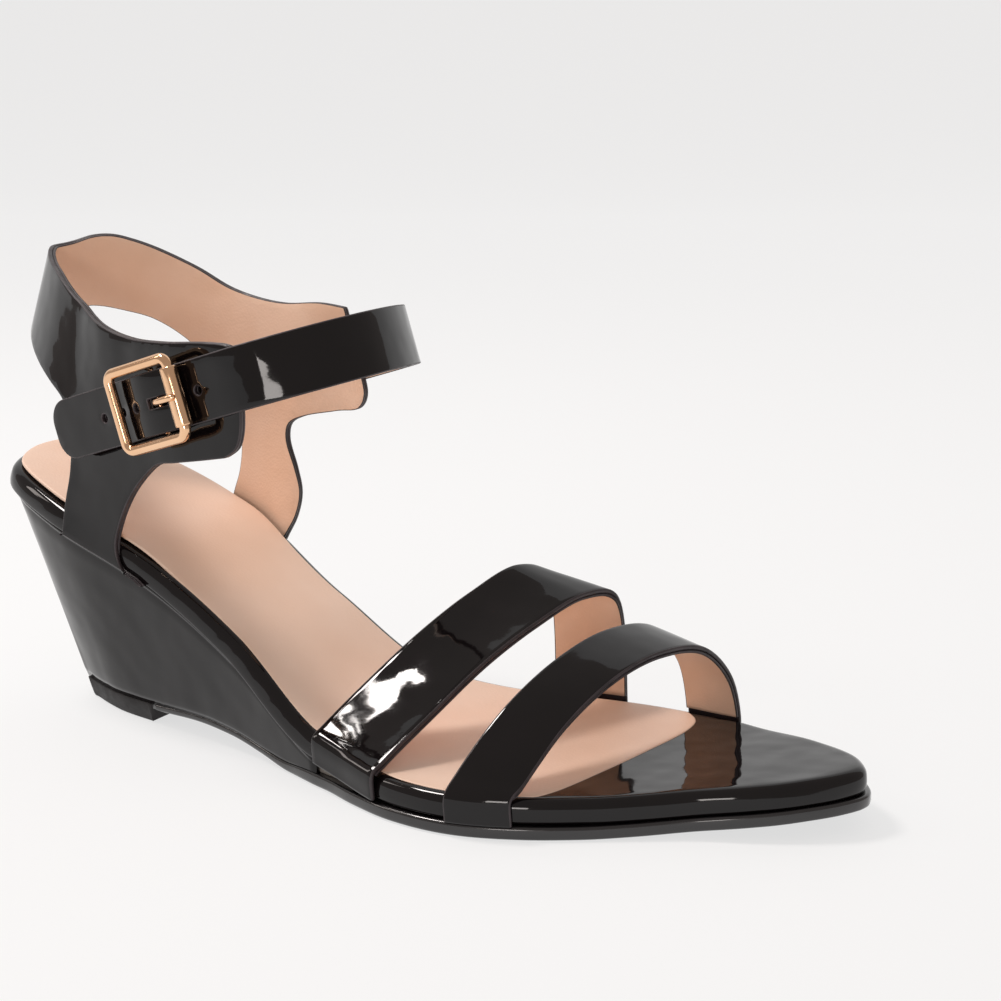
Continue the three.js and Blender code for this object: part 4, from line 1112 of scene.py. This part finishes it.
        inner = Panel(under, outline, rounded_edge(self.lining, 0.25), facing=-1, pitch=2.0,
                      edge_pitch=0.9, thickness=self.lining)
        piece = inner.build("tan_heel_loop_lining", self.finishes.lining())
        keep(piece, Body.SHOE, "tan_lining_leather", "quarter_lining")


# ------------------------------------------------------------------ ankle strap
@dataclass
class AnklePlane:
    """Axes of the ankle strap and buckle, taken from the buckle's hinge.

    Attributes:
        bar: middle of the buckle's centre bar, in millimetres from the heel's back.
    """

    bar: Array
    rise: float = math.radians(18)
    turn: float = math.radians(6)
    bar_lift: float = 2.0

    def __post_init__(self) -> None:
        """Works out the directions along, across and out of the strap at the buckle."""
        self.forward = np.array([math.cos(self.rise), 0, math.sin(self.rise)])
        self.up = np.array([-math.sin(self.rise), 0, math.cos(self.rise)])
        side = np.array([0, 1.0, 0])
        self.along = math.cos(self.turn) * self.forward - math.sin(self.turn) * side
        self.out = -math.sin(self.turn) * self.forward - math.cos(self.turn) * side
        self.seat = self.bar - self.out * self.bar_lift

    def at(self, u: Array, v: Array, w: Array) -> Array:
        """Points at buckle coordinates: u along the strap, v across it, w outward."""
        u, v, w = (np.asarray(k, float)[..., None] for k in np.broadcast_arrays(u, v, w))
        return self.seat + u * self.along + v * self.up + w * self.out


@dataclass
class AnkleStrap:
    """Ankle strap from its rounded tail round the front of the ankle to its sewn end."""

    plane: AnklePlane
    finishes: Finishes
    width: float = 15.6
    leather: float = 1.2
    lining: float = 0.7
    tail: float = 6.0
    hole: float = 1.1
    HOLES = (-19.5, -11.3, -4.9, 14.6)
    SLOT = (0.1, 5.3, 1.2)
    AT_BUCKLE = ((-40.5, 0.4), (-26, 1.5), (-15, 2.4), (-10.7, 2.9), (-5.5, 4.2), (0, 4.95), (5, 4.0),
                 (10.7, 2.2), (17, 1.5))
    # (x, y) round the ankle
    ROUND = ((97, -34.9), (107, -29.5), (114, -21), (117.3, -11), (117.4, -1), (115, 9.5), (110.5, 19.5),
             (103, 28), (93, 32.5), (84, 32.8), (75, 32.8), (66, 32.6))

    def __post_init__(self) -> None:
        """Sets out the strap's middle line and measures along it."""
        plane = self.plane
        points = [plane.at(u, 0, w) for u, w in self.AT_BUCKLE]
        for x, y in self.ROUND:
            reach = (x - plane.seat[0]) / math.cos(plane.rise)
            points.append(np.array([x, y, plane.seat[2] + reach * math.sin(plane.rise)]))
        steps = np.linspace(0, 1, 1601)
        self.line = Spline(points)
        self.track = self.line.at(steps)
        self.steps = steps
        self.along = np.concatenate([[0], np.cumsum(np.linalg.norm(np.diff(self.track, axis=0), axis=1))])
        self.length = self.along[-1]

    def place(self, u: float) -> float:
        """Distance along the strap of a place u from the buckle's seat."""
        reach = (self.track - self.plane.seat) @ self.plane.along
        near = self.along < self.length * 0.4
        return float(np.interp(u, reach[near], self.along[near]))

    def face(self, depth: float) -> Callable[[Array], Array]:
        """Surface at a depth below the strap's outer face, over (distance along, height)."""
        half = (self.leather + self.lining + 0.3) / 2

        def surface(flat: Array) -> Array:
            t = np.interp(flat[:, 0], self.along, self.steps)
            extra = (flat[:, 0] - np.clip(flat[:, 0], 0, self.length))[:, None]
            tangent = unit(self.line.at(np.minimum(t + 1e-3, 1)) - self.line.at(np.maximum(t - 1e-3, 0)))
            out = unit(np.cross(tangent, self.plane.up))
            return self.line.at(t) + tangent * extra + out * (half - depth) + self.plane.up * flat[:, 1:2]

        return surface

    def outline(self) -> Array:
        """The strap's flat outline, anticlockwise, with its rounded tail."""
        half, r = self.width / 2, self.tail
        turn = np.linspace(0, math.pi / 2, 12)
        lower = [(r - r * math.cos(a), -half + r - r * math.sin(a)) for a in turn]
        upper = [(r - r * math.sin(a), half - r + r * math.cos(a)) for a in turn]
        corners = [*lower, (self.length, -half), (self.length, half), *upper]
        return resample(np.array(corners), 0.4)

    def holes(self) -> list[Array]:
        """Punched holes and the prong's slot, clockwise."""
        turn = np.linspace(0, math.tau, 24, endpoint=False)
        loops = [np.column_stack([self.place(u) + self.hole * np.cos(turn), -self.hole * np.sin(turn)])
                 for u in self.HOLES]
        low, high, half = self.place(self.SLOT[0]), self.place(self.SLOT[1]), self.SLOT[2]
        loops.append(np.array([(low, -half), (low, half), (high, half), (high, -half)]))
        return loops

    def build(self) -> None:
        """Builds the strap, its lining and the stitches of its sewn end."""
        holes = self.holes()
        outer = Panel(self.face(0), self.outline(), rounded_edge(self.leather, 0.35), pitch=1.9,
                      edge_pitch=0.9, thickness=self.leather, holes=holes)
        piece = outer.build("patent_ankle_strap", self.finishes.sheet())
        keep(piece, Body.STRAP, "black_patent_leather", "ankle_strap")
        inner = Panel(self.face(self.leather + SKIN_GAP), self.outline(), rounded_edge(self.lining, 0.25),
                      pitch=1.9, edge_pitch=0.9, thickness=self.lining, holes=holes)
        piece = inner.build("tan_ankle_strap_lining", self.finishes.lining())
        keep(piece, Body.STRAP, "tan_lining_leather", "ankle_strap_lining")
        self.stitch()

    def stitch(self) -> None:
        """Thread stitches in a box at the strap's sewn end."""
        half, end, pitch = self.width / 2 - 1.8, self.length - 1.8, 2.4
        start = end - 11
        corners = np.array([(start, -half), (end, -half), (end, half), (start, half)])
        loop = resample(corners, 0.1)
        surface = self.face(-0.12)
        parts = []
        shape = np.sin(np.linspace(0.12, math.pi - 0.12, 7))
        per_stitch = round(pitch / 0.1)
        for i in range(0, len(loop) - per_stitch // 2, per_stitch):
            flat = loop[i:i + round(per_stitch * 0.78)]
            path = surface(flat[np.linspace(0, len(flat) - 1, 7).round().astype(int)])
            parts.append(loft(sweep(path, 0.28 * shape**0.6, 8)))
        piece = make_mesh("strap_end_stitches", *joined(*parts), [self.finishes.thread])
        keep(piece, Body.STRAP, "black_patent_leather")


# ------------------------------------------------------------------ buckle
@dataclass
class Buckle:
    """Rounded square buckle of rod, with a centre bar, a roller and a prong."""

    plane: AnklePlane
    finishes: Finishes
    half_length: float = 10.7
    half_height: float = 9.85
    corner: float = 2.3
    rod: float = 1.4
    lift: float = 6.4
    bar_rod: float = 0.75
    roller_length: float = 14.8
    prong_rod: float = 0.85
    PRONG = ((0.95, 2.55), (2.5, 4.6), (4.2, 7.3), (6.6, 9.1), (10.7, 9.75), (13.2, 9.4))

    def frame(self) -> None:
        """The cast frame with its centre bar."""
        turn = np.linspace(0, math.pi / 2, 10)
        path = []
        inner_u, inner_v = self.half_length - self.corner, self.half_height - self.corner
        for quarter, (su, sv) in enumerate(((1, 1), (-1, 1), (-1, -1), (1, -1))):
            for a in turn + quarter * math.pi / 2:
                across = sv * inner_v + self.corner * math.sin(a)
                path.append((su * inner_u + self.corner * math.cos(a), across))
            nxt = ((-1, 1), (-1, -1), (1, -1), (1, 1))[quarter]
            last = np.array(path[-1])
            first = last + np.array([(nxt[0] - su) * inner_u, (nxt[1] - sv) * inner_v])
            path += [tuple(last + (first - last) * s) for s in (0.1, 0.3, 0.5, 0.7, 0.9)]
        u, v = np.array(path).T
        rings = sweep(self.plane.at(u, v, self.lift), self.rod, 20, closed=True)
        rod = loft(rings, closed=True)
        # (across, out): down from the frame to the bar's own height
        low = self.plane.bar_lift
        legs = [(self.half_height, self.lift), (9.4, self.lift - 2.2), (9.1, 3.2), (8.3, low), (7.3, low),
                (0, low)]
        legs += [(-a, b) for a, b in legs[-2::-1]]
        curve = Spline([(v, w, 0) for v, w in legs]).at(np.linspace(0, 1, 60))
        bar = loft(sweep(self.plane.at(0, curve[:, 0], curve[:, 1]), self.bar_rod, 14))
        piece = make_mesh("rose_gold_buckle_frame", *joined(rod, bar), [self.finishes.plate])
        keep(piece, Body.BUCKLE, "rose_gold_plate", "buckle_frame")

    def roller(self) -> None:
        """Rolled tube over the frame's front bar, with the seam where its edges meet."""
        turn = np.linspace(0, math.tau, 48, endpoint=False)
        # the seam is a groove one third of a millimetre deep that faces outward
        seam = 0.32 * np.exp(-((turn - math.radians(125)) / 0.1) ** 2)
        bore, wall = self.rod + 0.12, self.rod + 0.75
        rings = []
        profile = [(-0.5, bore), (0.5, bore)]
        profile += [(0.5, wall - 0.2), (0.487, wall - 0.05), (0.47, wall)]
        profile += [(share, wall) for share in (0.3, 0.0, -0.3)]
        profile += [(-0.47, wall), (-0.487, wall - 0.05), (-0.5, wall - 0.2)]
        for a, groove in zip(turn, seam):
            v = np.array([share * self.roller_length for share, _ in profile])
            r = np.array([radius - (groove if radius >= wall - 0.06 else 0) for _, radius in profile])
            rings.append(self.plane.at(self.half_length + r * math.cos(a), v, self.lift + r * math.sin(a)))
        points, faces, slots = loft(np.array(rings), closed=True)
        piece = make_mesh("rose_gold_roller", points, faces, slots, [self.finishes.plate])
        keep(piece, Body.ROLLER, "rose_gold_plate", "buckle_roller")

    def prong(self) -> None:
        """Prong of round wire, curled round the centre bar."""
        curve = Spline([(u, w, 0) for u, w in self.PRONG]).at(np.linspace(0, 1, 40))
        taper = np.concatenate([np.full(34, 1.0), [0.97, 0.92, 0.83, 0.7, 0.5, 0.2]]) * self.prong_rod
        wire = loft(sweep(self.plane.at(curve[:, 0], 0, curve[:, 1]), taper, 16))
        turn = np.linspace(0, math.tau, 30, endpoint=False)
        radius = self.bar_rod + 0.35 + 0.45
        ring = self.plane.at(radius * np.cos(turn), 0, self.plane.bar_lift + radius * np.sin(turn))
        curl = loft(sweep(ring, 0.5, 12, closed=True), closed=True)
        piece = make_mesh("rose_gold_prong", *joined(wire, curl), [self.finishes.plate])
        keep(piece, Body.PRONG, "rose_gold_plate", "buckle_prong")

    def build(self) -> None:
        """Builds the buckle; the leather loop that holds it keeps its CAD shape."""
        self.frame()
        self.roller()
        self.prong()
        for slot in frame["nodes"]["buckle_loop"].material_slots:
            slot.material = self.finishes.patent


# ------------------------------------------------------------------ studio
@dataclass
class Studio:
    """Pale sweep, soft lights and the camera."""

    centre: tuple[float, float, float]
    floor_colour: str = "#868686"

    def sweep(self) -> None:
        """Floor that curves up into a wall behind the shoe."""
        turn = np.linspace(0, math.pi / 2, 24)
        radius, back, half = 1.2, 1.4, 5.0
        profile = [(-5.0, 0.0), *[(back + radius * math.sin(a), radius - radius * math.cos(a)) for a in turn]]
        profile.append((back + radius, 5.0))
        # the wall faces the camera, which looks from front right
        away = unit(np.array([-0.4869, 0.8435]))
        side = np.array([-away[1], away[0]])
        points = [[*(away * reach + side * across), height - 0.0002]
                  for reach, height in profile for across in (-half, half)]
        faces = [[2 * i, 2 * i + 1, 2 * i + 3, 2 * i + 2] for i in range(len(profile) - 1)]
        mesh = bpy.data.meshes.new("studio_sweep")
        mesh.from_pydata(points, [], faces)
        mesh.polygons.foreach_set("use_smooth", np.ones(len(faces), bool))
        # translucent paper lit from behind as well as from the front
        paper = Finish("white_paper_sweep", self.floor_colour, self.floor_colour, 400, 0.9, 0.02,
                       grain=(2, 0.01), glow=0.68)
        mesh.materials.append(paper.build())
        floor = bpy.data.objects.new("studio_sweep", mesh)
        bpy.context.scene.collection.objects.link(floor)

    def light(self, name: str, place: Sequence[float], size: tuple[float, float], power: float,
              colour: str = "#ffffff") -> None:
        """Adds a soft box that faces the shoe.

        Args:
            name: the light's name.
            place: direction and distance from the shoe's middle, in metres.
            size: width and height in metres.
            power: watts.
            colour: sRGB hex.
        """
        data = bpy.data.lights.new(name, "AREA")
        data.shape = "RECTANGLE"
        data.size, data.size_y = size
        data.energy = power
        data.color = linear(colour)[:3]
        lamp = bpy.data.objects.new(name, data)
        lamp.location = Vector(self.centre) + Vector(place)
        lamp.rotation_euler = Vector(place).to_track_quat("Z", "Y").to_euler()
        bpy.context.scene.collection.objects.link(lamp)

    def lights(self) -> None:
        """World light and soft boxes."""
        world = bpy.data.worlds.new("studio_air")
        bpy.context.scene.world = world
        world.use_nodes = True
        background = world.node_tree.nodes["Background"]
        background.inputs["Color"].default_value = linear("#fff4ee")
        background.inputs["Strength"].default_value = 0.40
        self.light("overhead_soft_box", (-0.42, -0.10, 0.80), (0.20, 0.20), 5.0, "#fff8f4")
        self.light("front_soft_box", (0.35, -0.95, 0.10), (0.24, 0.16), 1.3, "#fff8f4")
        self.light("left_soft_box", (-0.9, -0.45, 0.62), (0.12, 0.5), 1.1, "#fff4ee")

    def camera(self) -> None:
        """Camera at the height of a standing table shot."""
        data = bpy.data.cameras.new("camera")
        data.lens, data.sensor_width = 75.1, 36.0
        camera = bpy.data.objects.new("camera", data)
        camera.location = (0.3610, -0.42978, 0.18337)
        target = Vector((0.10783, 0.00885, 0.06544))
        camera.rotation_euler = (target - camera.location).to_track_quat("-Z", "Y").to_euler()
        bpy.context.scene.collection.objects.link(camera)
        bpy.context.scene.camera = camera

    def build(self) -> None:
        """Builds the studio."""
        self.sweep()
        self.lights()
        self.camera()
        bpy.context.scene.view_settings.view_transform = "Standard"


def main() -> None:
    """Builds the sandal's pieces in order, then the studio."""
    logging.basicConfig(level=logging.INFO, format="%(message)s")
    low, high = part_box("platform_cover")
    heel_x = low.x / MM
    last = Last(length=(high.x - low.x) / MM, seat=high.z / MM)
    finishes = Finishes()
    hinge = next(j for j in frame["joints"] if j["name"] == "buckle_rock")
    bar = np.array(hinge["pos_m"]) / MM - [heel_x, 0, 0]

    Hidden().dress()
    Sole(last, finishes).build()
    toe_crest = ((0.05, 5.2, 3.4), (0.22, 16.6, 14.4), (0.42, 24.6, 21.9), (0.62, 28.1, 24.6),
                 (0.82, 25.6, 21.9), (0.95, 15.6, 12.1))
    FootStrap("toe_strap", (161, 176), (183, 198), toe_crest, last, finishes).build()
    instep_crest = ((0.04, 3.2, 3), (0.22, 13.2, 11.8), (0.42, 23.2, 20.9), (0.62, 31.2, 27.3),
                    (0.82, 36.4, 31.4), (0.95, 32.6, 28.8))
    FootStrap("instep_strap", (119, 141), (147, 166), instep_crest, last, finishes).build()
    HeelLoop(last, finishes).build()
    plane = AnklePlane(bar)
    AnkleStrap(plane, finishes).build()
    Buckle(plane, finishes).build()
    Studio(centre=(0.08, 0.0, 0.05)).build()


if __name__ == "__main__":
    main()
